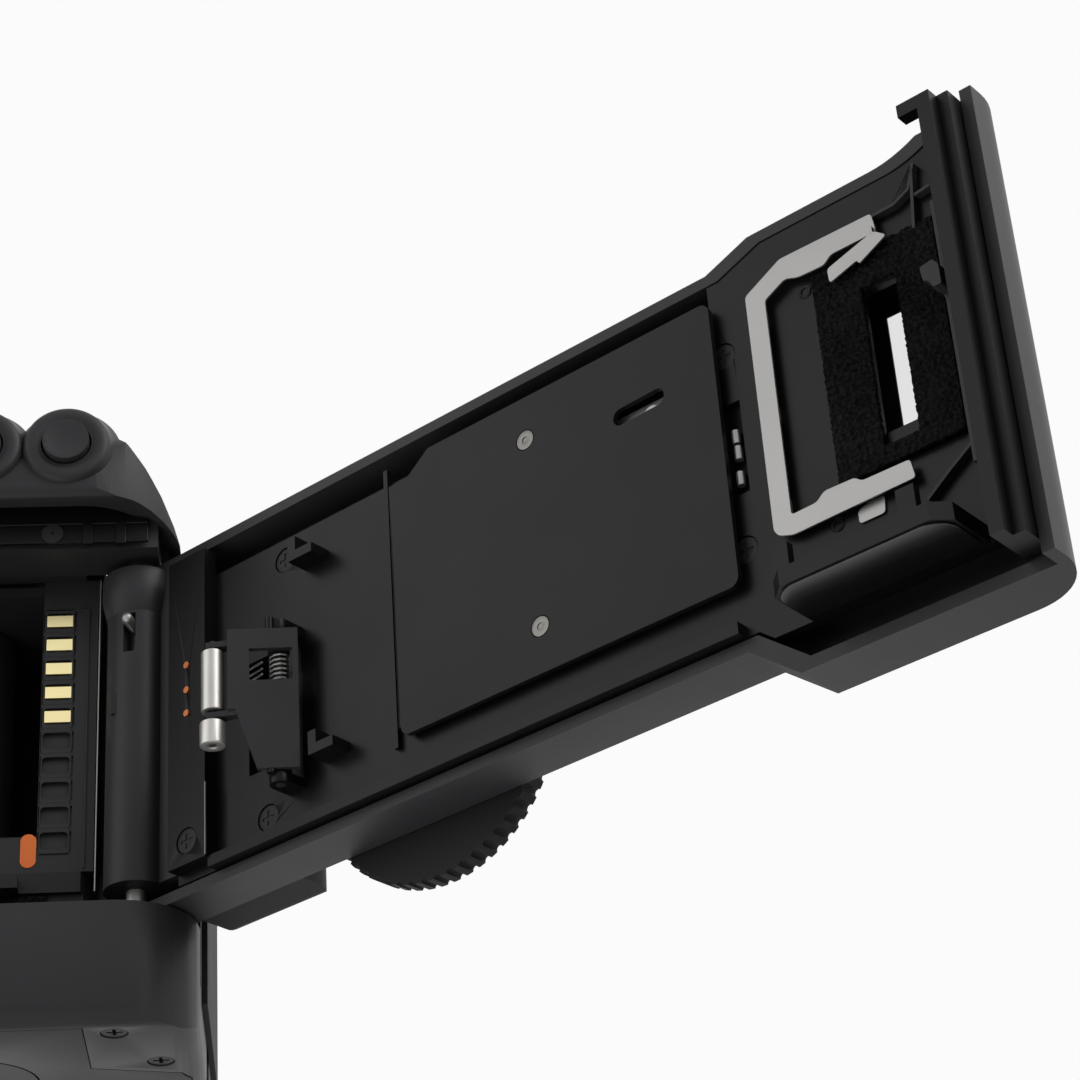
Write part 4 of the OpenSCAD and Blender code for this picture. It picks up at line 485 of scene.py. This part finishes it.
@dataclass
class CartridgeSpring:
    """Bent steel frame that steadies the film cartridge.

    Args:
        sheet_y: Front and back of the sheet in door millimetres.
        finger_y: Front and back of the raised finger.
        tab_y: Front and back of the small tab below.
        corner: Rounding of the cut corners.
        frame_outline: Corners of the sheet as place from the hinge and height.
        finger_outline: The same for the raised finger.
        tab_outline: The same for the tab.
        neck: Two corners of the bend between sheet and finger.
        foot_x: Ends of the feet that hold the sheet off the liner.
        foot_z: Their low edges.
        foot_h: Their height.
        foot_sunk: How deep they reach into the sheet.
    """

    sheet_y: Pair = (-1.3, -1.0)
    finger_y: Pair = (-1.9, -1.62)
    tab_y: Pair = (-0.3, -0.05)
    corner: float = 0.5
    frame_outline: Outline = (
        (110.0, 63.9), (115.6, 66.8), (129.1, 66.5), (129.5, 63.6), (122.9, 63.7), (121.7, 62.7),
        (117.8, 62.9), (116.0, 63.6), (112.8, 62.0), (112.7, 31.4), (116.3, 31.5), (117.5, 32.5),
        (121.8, 32.4), (122.7, 31.6), (129.3, 31.5), (129.7, 28.9), (121.7, 28.8), (112.6, 28.7),
        (110.6, 29.4), (110.0, 30.3))
    finger_outline: Outline = (
        (122.4, 61.4), (129.4, 63.4), (131.1, 62.0), (126.9, 59.9), (126.6, 60.5), (122.5, 59.3))
    tab_outline: Outline = ((121.0, 28.6), (122.6, 29.2), (124.8, 29.2), (124.6, 26.9), (121.0, 26.9))
    neck: tuple[Pair, Pair] = ((128.9, 63.0), (129.3, 64.2))
    foot_x: Pair = (110.4, 112.2)
    foot_z: tuple[float, ...] = (59.0, 45.0, 32.0)
    foot_h: float = 2.2
    foot_sunk: float = 0.05

    def build(self) -> None:
        """Builds the spring in place of its CAD node."""
        piece = Piece("cartridge_spring_sheet", Finishes.steel, Body.DOOR, "bright_steel", door_space(),
                      ("cartridge_spring",), edge_mm=0.06)
        for outline, y in ((self.frame_outline, self.sheet_y), (self.finger_outline, self.finger_y),
                           (self.tab_outline, self.tab_y)):
            piece.slab(round_outline(outline, self.corner), y)
        (x0, z0), (x1, z1) = self.neck
        piece.box((x0, self.finger_y[0], z0), (x1, self.sheet_y[1], z1))
        for z in self.foot_z:
            piece.box((self.foot_x[0], self.sheet_y[0] + self.foot_sunk, z),
                      (self.foot_x[1], 0.0, z + self.foot_h))
        piece.close()


@dataclass
class ContactPanel:
    """Raised border, silver edge and film mark of the panel behind the hinge.

    Args:
        face_y: Face of the panel in row millimetres.
        border_x: Left and right of the border.
        border_z: Low and high end of the border.
        border_w: Width of the border.
        border_rise: How far border and slots stand out.
        border_sunk: How deep the border reaches into the panel.
        edge_x: Left side of the silver edge.
        edge_w: Its width.
        edge_z: Its low and high end.
        edge_deep: Half its depth.
        mark_at: Middle of the film mark in x and z.
        mark_half: Half its width and height.
        mark_y: Its back and front from the face.
        slot_x: Middle of the slots.
        slot_top_z: Middle of the top slot.
        slot_pitch: Step from slot to slot.
        slot_half: Half the width and height of a slot.
        slot_wall: Wall beside the slots.
        slot_r: Corner radius of a slot.
        slot_count: Number of slots.
    """

    face_y: float = 15.3
    border_x: Pair = (-70.2, -63.75)
    border_z: Pair = (26.0, 67.1)
    border_w: float = 0.3
    border_rise: float = 0.22
    border_sunk: float = 0.2
    edge_x: float = -71.75
    edge_w: float = 0.18
    edge_z: Pair = (22.4, 71.8)
    edge_deep: float = 0.5
    mark_at: Pair = (-62.4, 28.9)
    mark_half: Pair = (1.1, 2.55)
    mark_y: Pair = (-0.1, 0.12)
    slot_x: float = -65.88
    slot_top_z: float = 65.2
    slot_pitch: float = 3.88
    slot_half: Pair = (1.98, 1.28)
    slot_wall: float = 0.15
    slot_r: float = 0.6
    slot_count: int = 10

    def build(self) -> None:
        """Builds the border, the slots, the silver edge and the film mark."""
        x, z, w = self.border_x, self.border_z, self.border_w
        rim = Piece("contact_panel_border", Finishes.moulded, Body.CAMERA, "moulded_black", row_space(),
                    edge_mm=0.08)
        low, high = self.face_y - self.border_sunk, self.face_y + self.border_rise
        rim.box((x[0], low, z[0]), (x[0] + w, high, z[1]))
        rim.box((x[0] + w, low, z[1] - w), (x[1], high, z[1]))
        rim.close()
        self.slots()
        edge = Piece("panel_silver_edge", Finishes.steel, Body.CAMERA, "bright_steel", row_space(),
                     edge_mm=0.03)
        edge.box((self.edge_x, self.face_y - self.edge_deep, self.edge_z[0]),
                 (self.edge_x + self.edge_w, self.face_y + self.edge_deep, self.edge_z[1]))
        edge.close()
        mark = Piece("film_leader_mark", Finishes.orange, Body.CAMERA, "moulded_black", row_space(),
                     edge_mm=0.04)
        across, up = self.mark_half
        turns = [math.radians(7.5 + 15 * k) for k in range(24)]
        outline = [(self.mark_at[0] + across * math.cos(a),
                    self.mark_at[1] + math.copysign(up - across, math.sin(a)) + across * math.sin(a))
                   for a in turns]
        mark.slab(outline, (self.face_y + self.mark_y[0], self.face_y + self.mark_y[1]))
        mark.close()

    def slots(self) -> None:
        """Builds the ladder of rounded slots over the contact pads."""
        ladder = Piece("contact_slots", Finishes.moulded, Body.CAMERA, "moulded_black", row_space(),
                       edge_mm=0.07)
        mesh = ladder.mesh
        half_x, half_z = self.slot_half
        side = (half_x + self.slot_wall, self.slot_pitch / 2)
        flat = (half_x - self.slot_r, half_z - self.slot_r)
        for k in range(self.slot_count):
            z = self.slot_top_z - k * self.slot_pitch
            rings: list[list[bmesh.types.BMVert]] = [[], []]
            for a in [math.radians(5 + 10 * i) for i in range(36)]:
                ca, sa = math.cos(a), math.sin(a)
                inner = (math.copysign(flat[0], ca) + self.slot_r * ca,
                         math.copysign(flat[1], sa) + self.slot_r * sa)
                reach = min(side[0] / max(abs(ca), 1e-6), side[1] / max(abs(sa), 1e-6))
                for ring, (dx, dz) in zip(rings, (inner, (reach * ca, reach * sa))):
                    ring.append(mesh.verts.new((self.slot_x + dx, self.face_y, z + dz)))
            edges = [mesh.edges.new((ring[i - 1], ring[i])) for ring in rings for i in range(len(ring))]
            faces = bmesh.ops.bridge_loops(mesh, edges=edges)["faces"]
            grown = bmesh.ops.extrude_face_region(mesh, geom=faces)
            moved = [g for g in grown["geom"] if isinstance(g, bmesh.types.BMVert)]
            bmesh.ops.translate(mesh, verts=moved, vec=(0.0, self.border_rise, 0.0))
        ladder.close()


@dataclass
class HingeBarrel:
    """Collar and catch of the hinge barrel.

    Args:
        profile: Collar as radius and height in millimetres.
        catch_at: Place of the small catch in row millimetres.
        catch_lo: Its lowest corner from there.
        catch_hi: Its highest corner from there.
    """

    profile: Outline = (
        (4.3, 62.6), (4.6, 63.0), (5.15, 65.4), (5.3, 66.2), (5.3, 69.4), (5.1, 69.9), (3.0, 69.95))
    catch_at: Point = (-74.5, 21.2, 48.3)
    catch_lo: Point = (-0.6, -0.6, -1.6)
    catch_hi: Point = (0.6, 0.35, 1.6)

    def build(self) -> None:
        """Builds the collar and the catch."""
        collar = Piece("hinge_collar", Finishes.moulded, Body.DOOR, "moulded_black", row_space(),
                       edge_mm=0.05)
        collar.lathe(self.profile, (*HINGE_MM, 0.0), upright("Z"))
        collar.close()
        catch = Piece("hinge_catch", Finishes.casting, Body.DOOR, "die_casting", row_space(), edge_mm=0.1)
        lo, hi = ([a + b for a, b in zip(self.catch_at, end)] for end in (self.catch_lo, self.catch_hi))
        catch.box(lo, hi)
        catch.close()


@dataclass
class LatchHook:
    """Latch slide with its hook beside the tongue.

    Args:
        hook_y: Front and back of the hook in door millimetres.
        hook_outline: Corners of the hook as place from the hinge and height.
        hook_r: Rounding of its corners.
        tip_y: Front and back of the tip under the hook.
        tip_outline: Corners of the tip.
        tip_r: Rounding of its corners.
        slide: Lowest and highest corner of the slide plate.
    """

    hook_y: Pair = (-6.4, -3.2)
    hook_outline: Outline = (
        (137.3, 49.6), (137.1, 51.6), (138.9, 51.9), (139.6, 50.9), (139.6, 48.2), (138.5, 48.2),
        (137.9, 49.4))
    hook_r: float = 0.3
    tip_y: Pair = (-4.1, -3.2)
    tip_outline: Outline = ((138.4, 48.6), (139.6, 48.6), (139.6, 45.3), (139.1, 45.0), (138.8, 46.6))
    tip_r: float = 0.2
    slide: tuple[Point, Point] = ((138.35, -3.6, 26.0), (139.6, 1.0, 62.0))

    def build(self) -> None:
        """Builds the latch in place of its CAD node."""
        piece = Piece("latch_hook", Finishes.moulded, Body.LATCH, "die_casting", door_space(),
                      ("latch_slide",))
        piece.slab(round_outline(self.hook_outline, self.hook_r), self.hook_y)
        piece.slab(round_outline(self.tip_outline, self.tip_r), self.tip_y)
        piece.box(*self.slide)
        piece.close()


@dataclass
class ButtonBoss:
    """Soft swelling of the brow round a rear button.

    Args:
        at: Middle of the button in row X and Z.
        profile: Radius and Y of the swelling.
    """

    at: Pair
    profile: Outline = (
        (7.7, 30.2), (7.0, 31.2), (6.5, 32.3), (6.2, 33.1), (5.95, 33.7), (5.5, 34.02), (4.6, 34.08),
        (3.9, 33.9), (3.62, 33.4), (3.6, 32.6))

    def build(self, name: str) -> None:
        """Builds the swelling.

        Args:
            name: Object name.
        """
        piece = Piece(name, Finishes.moulded, Body.CAMERA, "moulded_black", row_space(), edge_mm=0.02)
        piece.lathe(self.profile, (self.at[0], 0.0, self.at[1]), upright("Y"))
        piece.close()


@dataclass
class DoorContacts:
    """Sprung contacts beside the pressure plate, and the steel edge of the strip at the hinge.

    Args:
        at: Middles as place from the hinge and height.
        depth_y: Middle of the contacts in door millimetres.
        radius: Radius of each rolled contact.
        length: Its length.
        strip_edge: Lowest and highest corner of the steel edge.
    """

    at: Outline = ((105.3, 46.2), (105.4, 43.9), (105.3, 40.3))
    depth_y: float = 0.35
    radius: float = 0.55
    length: float = 1.9
    strip_edge: tuple[Point, Point] = ((15.55, -2.16, 20.8), (15.75, -1.9, 31.5))

    def build(self) -> None:
        """Builds the rolled contacts and the steel edge."""
        piece = Piece("edge_contacts", Finishes.steel, Body.DOOR, "bright_steel", door_space(), edge_mm=0.1)
        for x, z in self.at:
            piece.rod((x, self.depth_y, z), self.radius, self.length, upright("Z"))
        piece.close()
        edge = Piece("strip_steel_edge", Finishes.screw, Body.DOOR, "bright_steel", door_space(),
                     edge_mm=0.02)
        edge.box(*self.strip_edge)
        edge.close()


@dataclass
class BrowShadeBarScrew:
    """Sheet painted near black as the shade in the hollow under the brow, with a dark bar and a screw.

    Args:
        wall_y: Face of the wall under the brow in row millimetres.
        span_x: Ends of the painted shade sheet and the bar.
        top_z: Top of the painted shade sheet.
        sunk: How deep the painted shade sheet and the bar reach into the wall.
        bar_z: Low and high edge of the bar.
        bar_rise: How far the bar stands out.
        lip_rise: How far its top lip and its blocks stand out.
        screw_at: Middle of the screw in x and z.
        screw_r: Radius of the screw's head.
        screw_y: Middle, back and front of the head and its cross from the wall.
        cross: Half the length and width of the cross.
        block_x: Middles of the blocks.
        block_w: Width of a block.
    """

    wall_y: float = 26.0
    span_x: Pair = (-79.2, -46.0)
    top_z: float = 78.4
    sunk: float = 0.1
    bar_z: Pair = (71.9, 75.2)
    bar_rise: float = 0.45
    lip_rise: float = 0.8
    screw_at: Pair = (-65.6, 73.3)
    screw_r: float = 1.55
    screw_y: Point = (0.5, 0.7, 0.8)
    cross: Pair = (0.9, 0.2)
    block_x: tuple[float, ...] = (-70.6, -75.3)
    block_w: float = 1.5

    def build(self) -> None:
        """Builds the painted shade sheet, the bar with its blocks, and the screw."""
        y = self.wall_y
        # Painted shade: a thin near-black sheet on the wall where the hollow under the brow lies in shadow.
        shade_sheet = Piece("brow_painted_shade", Finishes.hollow, Body.CAMERA, "moulded_black", row_space(),
                       edge_mm=0.05)
        (left, right), (low, high) = self.span_x, self.bar_z
        shade_sheet.box((left, y - self.sunk, high - 0.2), (right, y + self.sunk, self.top_z))
        shade_sheet.close()
        bar = Piece("brow_bar", Finishes.smooth, Body.CAMERA, "moulded_black", row_space(), edge_mm=0.15)
        bar.box((left, y - self.sunk, low), (right, y + self.bar_rise, high))
        bar.box((left, y - self.sunk, high - 0.5), (right, y + self.lip_rise, high + 0.1))
        for x in self.block_x:
            bar.box((x - self.block_w / 2, y, low - 0.4), (x + self.block_w / 2, y + self.lip_rise, high))
        bar.close()
        screw = Piece("brow_screw", Finishes.casting, Body.CAMERA, "moulded_black", row_space(),
                      edge_mm=0.08)
        x, z = self.screw_at
        middle, back, front = self.screw_y
        screw.rod((x, y + middle, z), self.screw_r, 0.5, upright("Y"))
        for across, up in (self.cross, self.cross[::-1]):
            screw.box((x - across, y + back, z - up), (x + across, y + front, z + up))
        screw.close()


@dataclass
class FoamPad:
    """Coarse open foam round the film window, and painted shade in the window's pit.

    Args:
        outer: Lowest and highest corner as place from the hinge and height.
        hole: The same for the opening.
        face_y: Face of the foam in door millimetres.
        foot_y: Its foot.
        mask_x: Inner edge of the painted shade round the window.
        mask_z: Its lower edge above the window.
        mask_outer: Lowest and highest corner of the painted shade.
        mask_y: Its front and back.
        step: Size of the surface cells.
        rough: Height of the open grain.
        coarse: Frequency of the wide grain, per millimetre.
        fine: Frequency of the narrow grain.
        fine_share: Height of the narrow grain against the wide one.
    """

    outer: tuple[Pair, Pair] = ((119.5, 32.4), (136.9, 62.2))
    hole: tuple[Pair, Pair] = ((126.0, 34.8), (131.0, 57.2))
    face_y: float = -1.0
    foot_y: float = 0.1
    mask_x: float = 125.35
    mask_z: float = 56.4
    mask_outer: tuple[Pair, Pair] = ((123.4, 36.0), (132.4, 58.6))
    mask_y: Pair = (5.45, 5.7)
    step: float = 0.22
    rough: float = 0.3
    coarse: float = 2.1
    fine: float = 5.3
    fine_share: float = 0.5

    def build(self) -> None:
        """Builds the pad in place of its CAD node, and the painted shade round the window."""
        pad = Piece("foam_pad", Finishes.foam, Body.DOOR, "black_foam", door_space(), ("window_foam",),
                    edge_mm=0.0)
        (x0, z0), (x1, z1) = self.outer
        (hx0, hz0), (hx1, hz1) = self.hole
        place = Matrix.Translation(((x0 + x1) / 2, self.face_y, (z0 + z1) / 2)) @ upright("Y")
        place = place @ Matrix.Diagonal(((x1 - x0) / 2, (z1 - z0) / 2, 1.0, 1.0))
        bmesh.ops.create_grid(pad.mesh, x_segments=round((x1 - x0) / self.step),
                              y_segments=round((z1 - z0) / self.step), size=1.0, matrix=place)
        inside = [f for f in pad.mesh.faces if hx0 < f.calc_center_median().x < hx1
                  and hz0 < f.calc_center_median().z < hz1]
        bmesh.ops.delete(pad.mesh, geom=inside, context="FACES")
        top = list(pad.mesh.verts)
        grown = bmesh.ops.extrude_face_region(pad.mesh, geom=list(pad.mesh.faces))
        foot = {g for g in grown["geom"] if isinstance(g, bmesh.types.BMVert)}
        for vert in foot:
            vert.co.y = self.foot_y
        for vert in top:
            if vert.is_valid and vert not in foot:
                bump = noise.noise(vert.co * self.coarse)
                bump += self.fine_share * noise.noise(vert.co * self.fine)
                vert.co.y += self.rough * bump
        pad.close()
        # Painted shade: a near-black frame in the window's pit, where it falls into shadow.
        shade_frame = Piece("window_painted_shade", Finishes.hollow, Body.DOOR, "moulded_black", door_space(), edge_mm=0.05)
        (left, low), (right, high) = self.mask_outer
        front, back = self.mask_y
        shade_frame.box((left, front, low), (self.mask_x, back, high))
        shade_frame.box((self.mask_x, front, self.mask_z), (right, back, high))
        shade_frame.close()


@dataclass
class ShelfSkin:
    """Glossy skin under the shelf that closes the cartridge chamber.

    Args:
        x: Ends along the door in door millimetres.
        y: Front and back.
        z: Low and high face.
        corner: Cut of the front corners.
        corner_r: Rounding of that cut.
    """

    x: Pair = (113.4, 136.6)
    y: Pair = (-9.1, -1.2)
    z: Pair = (17.2, 17.6)
    corner: float = 1.9
    corner_r: float = 1.2

    def build(self) -> None:
        """Builds the skin with its rounded front corners."""
        skin = Piece("shelf_skin", Finishes.gloss, Body.DOOR, "moulded_black", door_space(), edge_mm=0.08)
        x, y, c = self.x, self.y, self.corner
        outline = ((x[0], y[1]), (x[0], y[0] + c), (x[0] + c, y[0]), (x[1] - c, y[0]), (x[1], y[0] + c),
                   (x[1], y[1]))
        skin.slab(round_outline(outline, self.corner_r), self.z)
        for vert in skin.mesh.verts:
            vert.co = Vector((vert.co.x, vert.co.z, vert.co.y))
        skin.close()


@dataclass
class ArmTrim:
    """Long hinge rod and spring legs of the roller arm.

    Args:
        rod_at: Place of the rod in the door's own x and y.
        rod_z: Ends of the rod below and above the window.
        rod_r: Radius of the rod.
        leg_starts: Heights of the spring legs at the coil.
        leg_reach: Length of a leg.
        leg_r: Radius of its wire.
        leg_from: Start of a leg from the rod and its own height.
        leg_tilt_deg: Slope of a leg.
    """

    rod_at: Pair = (30.8, -4.7)
    rod_z: Outline = ((26.4, 39.6), (45.0, 49.6))
    rod_r: float = 0.62
    leg_starts: tuple[float, ...] = (43.6, 42.6, 41.8)
    leg_reach: float = 3.6
    leg_r: float = 0.16
    leg_from: Point = (-1.2, -0.2, -0.5)
    leg_tilt_deg: float = -5.0

    def build(self) -> None:
        """Builds the rod and the legs."""
        x, y = self.rod_at
        rod = Piece("arm_hinge_rod", Finishes.smooth, Body.ARM, "die_casting", door_space(), edge_mm=0.08)
        for low, high in self.rod_z:
            rod.rod((x, y, (low + high) / 2), self.rod_r, high - low, upright("Z"))
        rod.close()
        legs = Piece("spring_legs", Finishes.steel, Body.ARM, "bright_steel", door_space(), edge_mm=0.03)
        tilt = Matrix.Rotation(math.radians(self.leg_tilt_deg), 4, "Y") @ upright("X")
        dx, dy, dz = self.leg_from
        for z in self.leg_starts:
            legs.rod((x + dx - self.leg_reach / 2, y + dy, z + dz), self.leg_r, self.leg_reach, tilt)
        legs.close()


@dataclass
class DoorRibs:
    """Curved ribs between the liner and the tongue.

    Args:
        paths: Centre lines as place from the hinge and height.
        rib_y: Top and foot of the ribs in door millimetres.
        width: Width of a rib.
        wells: Middles of the small wells.
        well_profile: Radius and height of their rims.
        well_y: Foot of the rims.
        well_steps: Steps round a rim.
    """

    paths: tuple[Outline, ...] = (
        ((128.6, 66.2), (132.2, 66.3), (134.4, 67.3), (135.6, 70.6)),
        ((135.3, 70.2), (134.9, 66.3), (134.4, 61.6)),
        ((135.2, 66.1), (137.4, 66.4)),
        ((130.6, 25.6), (133.9, 28.0), (137.4, 30.3)))
    rib_y: Pair = (-1.1, 0.3)
    width: float = 0.42
    wells: Outline = ((17.1, 20.5), (117.9, 61.3), (118.0, 28.2))
    well_profile: Outline = ((0.55, -0.3), (0.55, 0.2), (0.8, 0.25), (0.95, 0.1), (1.0, -0.3))
    well_y: float = 0.05
    well_steps: int = 40

    def build(self) -> None:
        """Builds the ribs and the rims of the small wells."""
        ribs = Piece("door_cross_ribs", Finishes.moulded, Body.DOOR, "moulded_black", door_space(),
                     edge_mm=0.1)
        for path in self.paths:
            left: list[Pair] = []
            right: list[Pair] = []
            for here, there in zip(path, path[1:]):
                along = (Vector(there) - Vector(here)).normalized()
                side = Vector((-along.y, along.x)) * self.width / 2
                for end in (here, there):
                    left.append(tuple(Vector(end) + side))
                    right.append(tuple(Vector(end) - side))
            ribs.slab(left + right[::-1], self.rib_y)
        ribs.close()
        rings = Piece("liner_wells", Finishes.smooth, Body.DOOR, "moulded_black", door_space(),
                      edge_mm=0.04)
        for x, z in self.wells:
            rings.lathe(self.well_profile, (x, self.well_y, z), Matrix.Rotation(math.pi / 2, 4, "X"),
                        steps=self.well_steps)
        rings.close()


@dataclass
class Studio:
    """Camera, floor, world and soft lamps.

    Args:
        eye_mm: Camera centre in row millimetres.
        right: Camera's right axis.
        down: Camera's down axis.
        ahead: Viewing direction.
        lens: Focal length in millimetres.
        sensor: Width of the sensor in millimetres.
        clip_m: Nearest and farthest distance that is drawn.
        floor_size: Half the floor's width in metres.
        floor_z: Height of the floor.
        floor_greys: Darkest and palest grey of the floor.
        fade_m: Distances over which the floor melts into the background.
        seen: Colour of the background.
        lit: Strength of the world's light.
        aim: Point in metres that the lamps look at.
        lamps: Name, place in row millimetres, edge in metres and power in watts of each lamp.
    """

    eye_mm: Point = (-101.93, 369.68, -133.47)
    right: Point = (-0.9962, 0.0600, -0.0631)
    down: Point = (0.0235, -0.5123, -0.8585)
    ahead: Point = (-0.0838, -0.8567, 0.5090)
    lens: float = 92.19
    sensor: float = 36.0
    clip_m: Pair = (0.01, 50.0)
    floor_size: float = 6.0
    floor_z: float = -0.0005
    floor_greys: Pair = (0.86, 0.9)
    fade_m: Pair = (0.28, 0.7)
    seen: Point = (0.965, 0.965, 0.97)
    lit: float = 0.16
    aim: Point = (-0.1, 0.05, 0.05)
    lamps: tuple[tuple[str, Point, float, float], ...] = (
        ("key_lamp", (-750, 500, 600), 0.9, 9.5),
        ("fill_lamp", (750, 350, 300), 0.9, 3.2),
        ("low_lamp", (300, 150, -550), 0.6, 1.8))

    def camera(self) -> None:
        """Places the camera at the photograph's viewpoint."""
        data = bpy.data.cameras.new("photo_camera")
        data.lens, data.sensor_width = self.lens, self.sensor
        data.clip_start, data.clip_end = self.clip_m
        cam = bpy.data.objects.new("photo_camera", data)
        bpy.context.scene.collection.objects.link(cam)
        r, u, b = Vector(self.right), -Vector(self.down), -Vector(self.ahead)
        b.normalize()
        r = (r - r.dot(b) * b).normalized()
        u = b.cross(r)
        rot = Matrix((r, u, b)).transposed().to_4x4()
        cam.matrix_world = Matrix.Translation(Vector(self.eye_mm) * MM) @ rot
        bpy.context.scene.camera = cam

    def floor(self) -> None:
        """Lays a pale floor that is seen only from above and lets the low lamp through."""
        bm = bmesh.new()
        bmesh.ops.create_grid(bm, x_segments=1, y_segments=1, size=self.floor_size,
                              matrix=Matrix.Translation((0.0, 0.0, self.floor_z)))
        mesh = bpy.data.meshes.new("floor")
        bm.to_mesh(mesh)
        bm.free()
        floor = bpy.data.objects.new("floor", mesh)
        bpy.context.scene.collection.objects.link(floor)
        mat = bpy.data.materials.new("floor_pale")
        mat.use_nodes = True
        tree = mat.node_tree
        tree.nodes.clear()
        out = tree.nodes.new("ShaderNodeOutputMaterial")
        bsdf = tree.nodes.new("ShaderNodeBsdfPrincipled")
        clear = tree.nodes.new("ShaderNodeBsdfTransparent")
        mix = tree.nodes.new("ShaderNodeMixShader")
        geo = tree.nodes.new("ShaderNodeNewGeometry")
        cloud = tree.nodes.new("ShaderNodeTexNoise")
        tint = tree.nodes.new("ShaderNodeMix")
        coord = tree.nodes.new("ShaderNodeTexCoord")
        path = tree.nodes.new("ShaderNodeLightPath")
        unseen = tree.nodes.new("ShaderNodeMath")
        hide = tree.nodes.new("ShaderNodeMath")
        far = tree.nodes.new("ShaderNodeVectorMath")
        fade = tree.nodes.new("ShaderNodeMapRange")
        gone = tree.nodes.new("ShaderNodeMath")
        cloud.inputs["Scale"].default_value = 4.0
        tint.data_type = "RGBA"
        tint.inputs[6].default_value = (*[self.floor_greys[0]] * 3, 1)
        tint.inputs[7].default_value = (*[self.floor_greys[1]] * 3, 1)
        bsdf.inputs["Roughness"].default_value = 0.8
        link = tree.links.new
        link(coord.outputs["Object"], cloud.inputs["Vector"])
        link(cloud.outputs["Fac"], tint.inputs[0])
        link(tint.outputs[2], bsdf.inputs["Base Color"])
        unseen.operation = "SUBTRACT"
        unseen.inputs[0].default_value = 1.0
        hide.operation = "MAXIMUM"
        link(path.outputs["Is Camera Ray"], unseen.inputs[1])
        link(geo.outputs["Backfacing"], hide.inputs[0])
        link(unseen.outputs["Value"], hide.inputs[1])
        far.operation = "LENGTH"
        fade.inputs["From Min"].default_value = self.fade_m[0]
        fade.inputs["From Max"].default_value = self.fade_m[1]
        gone.operation = "MAXIMUM"
        link(coord.outputs["Object"], far.inputs[0])
        link(far.outputs["Value"], fade.inputs["Value"])
        link(hide.outputs["Value"], gone.inputs[0])
        link(fade.outputs["Result"], gone.inputs[1])
        link(gone.outputs["Value"], mix.inputs[0])
        link(bsdf.outputs["BSDF"], mix.inputs[1])
        link(clear.outputs["BSDF"], mix.inputs[2])
        link(mix.outputs["Shader"], out.inputs["Surface"])
        mesh.materials.append(mat)

    def world(self) -> None:
        """Sets a soft grey world that camera, glossy and transmission rays see as near white."""
        world = bpy.data.worlds.new("studio")
        bpy.context.scene.world = world
        world.use_nodes = True
        tree = world.node_tree
        tree.nodes.clear()
        out = tree.nodes.new("ShaderNodeOutputWorld")
        seen = tree.nodes.new("ShaderNodeBackground")
        lit = tree.nodes.new("ShaderNodeBackground")
        mix = tree.nodes.new("ShaderNodeMixShader")
        path = tree.nodes.new("ShaderNodeLightPath")
        add = tree.nodes.new("ShaderNodeMath")
        add.operation, add.use_clamp = "ADD", True
        more = tree.nodes.new("ShaderNodeMath")
        more.operation, more.use_clamp = "ADD", True
        seen.inputs["Color"].default_value = (*self.seen, 1)
        lit.inputs["Color"].default_value = (1, 1, 1, 1)
        lit.inputs["Strength"].default_value = self.lit
        link = tree.links.new
        link(path.outputs["Is Camera Ray"], add.inputs[0])
        link(path.outputs["Is Transmission Ray"], add.inputs[1])
        link(add.outputs["Value"], more.inputs[0])
        link(path.outputs["Is Glossy Ray"], more.inputs[1])
        link(more.outputs["Value"], mix.inputs[0])
        link(lit.outputs["Background"], mix.inputs[1])
        link(seen.outputs["Background"], mix.inputs[2])
        link(mix.outputs["Shader"], out.inputs["Surface"])

    def lamp(self, name: str, at_mm: Point, size: float, power: float) -> None:
        """Adds one square soft lamp that looks at the camera's door.

        Args:
            name: Lamp name.
            at_mm: Place in row millimetres.
            size: Edge in metres.
            power: Power in watts.
        """
        data = bpy.data.lights.new(name, "AREA")
        data.size, data.energy = size, power
        obj = bpy.data.objects.new(name, data)
        obj.location = Vector(at_mm) * MM
        look = Vector(self.aim) - obj.location
        obj.rotation_euler = look.to_track_quat("-Z", "Y").to_euler()
        bpy.context.scene.collection.objects.link(obj)

    def build(self) -> None:
        """Builds the whole stage."""
        self.camera()
        self.floor()
        self.world()
        for lamp in self.lamps:
            self.lamp(*lamp)
        bpy.context.scene.view_settings.view_transform = "Standard"
        LOG.info("stage ready")


def main() -> None:
    """Builds the looks and the stage."""
    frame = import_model()
    CadDress().build(frame)
    CartridgeSpring().build()
    ContactPanel().build()
    HingeBarrel().build()
    LatchHook().build()
    for number, x in enumerate(BUTTON_X, 1):
        ButtonBoss((x, BUTTON_Z)).build(f"button_boss_{number}")
    DoorContacts().build()
    BrowShadeBarScrew().build()
    ArmTrim().build()
    DoorRibs().build()
    FoamPad().build()
    ShelfSkin().build()
    Studio().build()


if __name__ == "__main__":
    main()
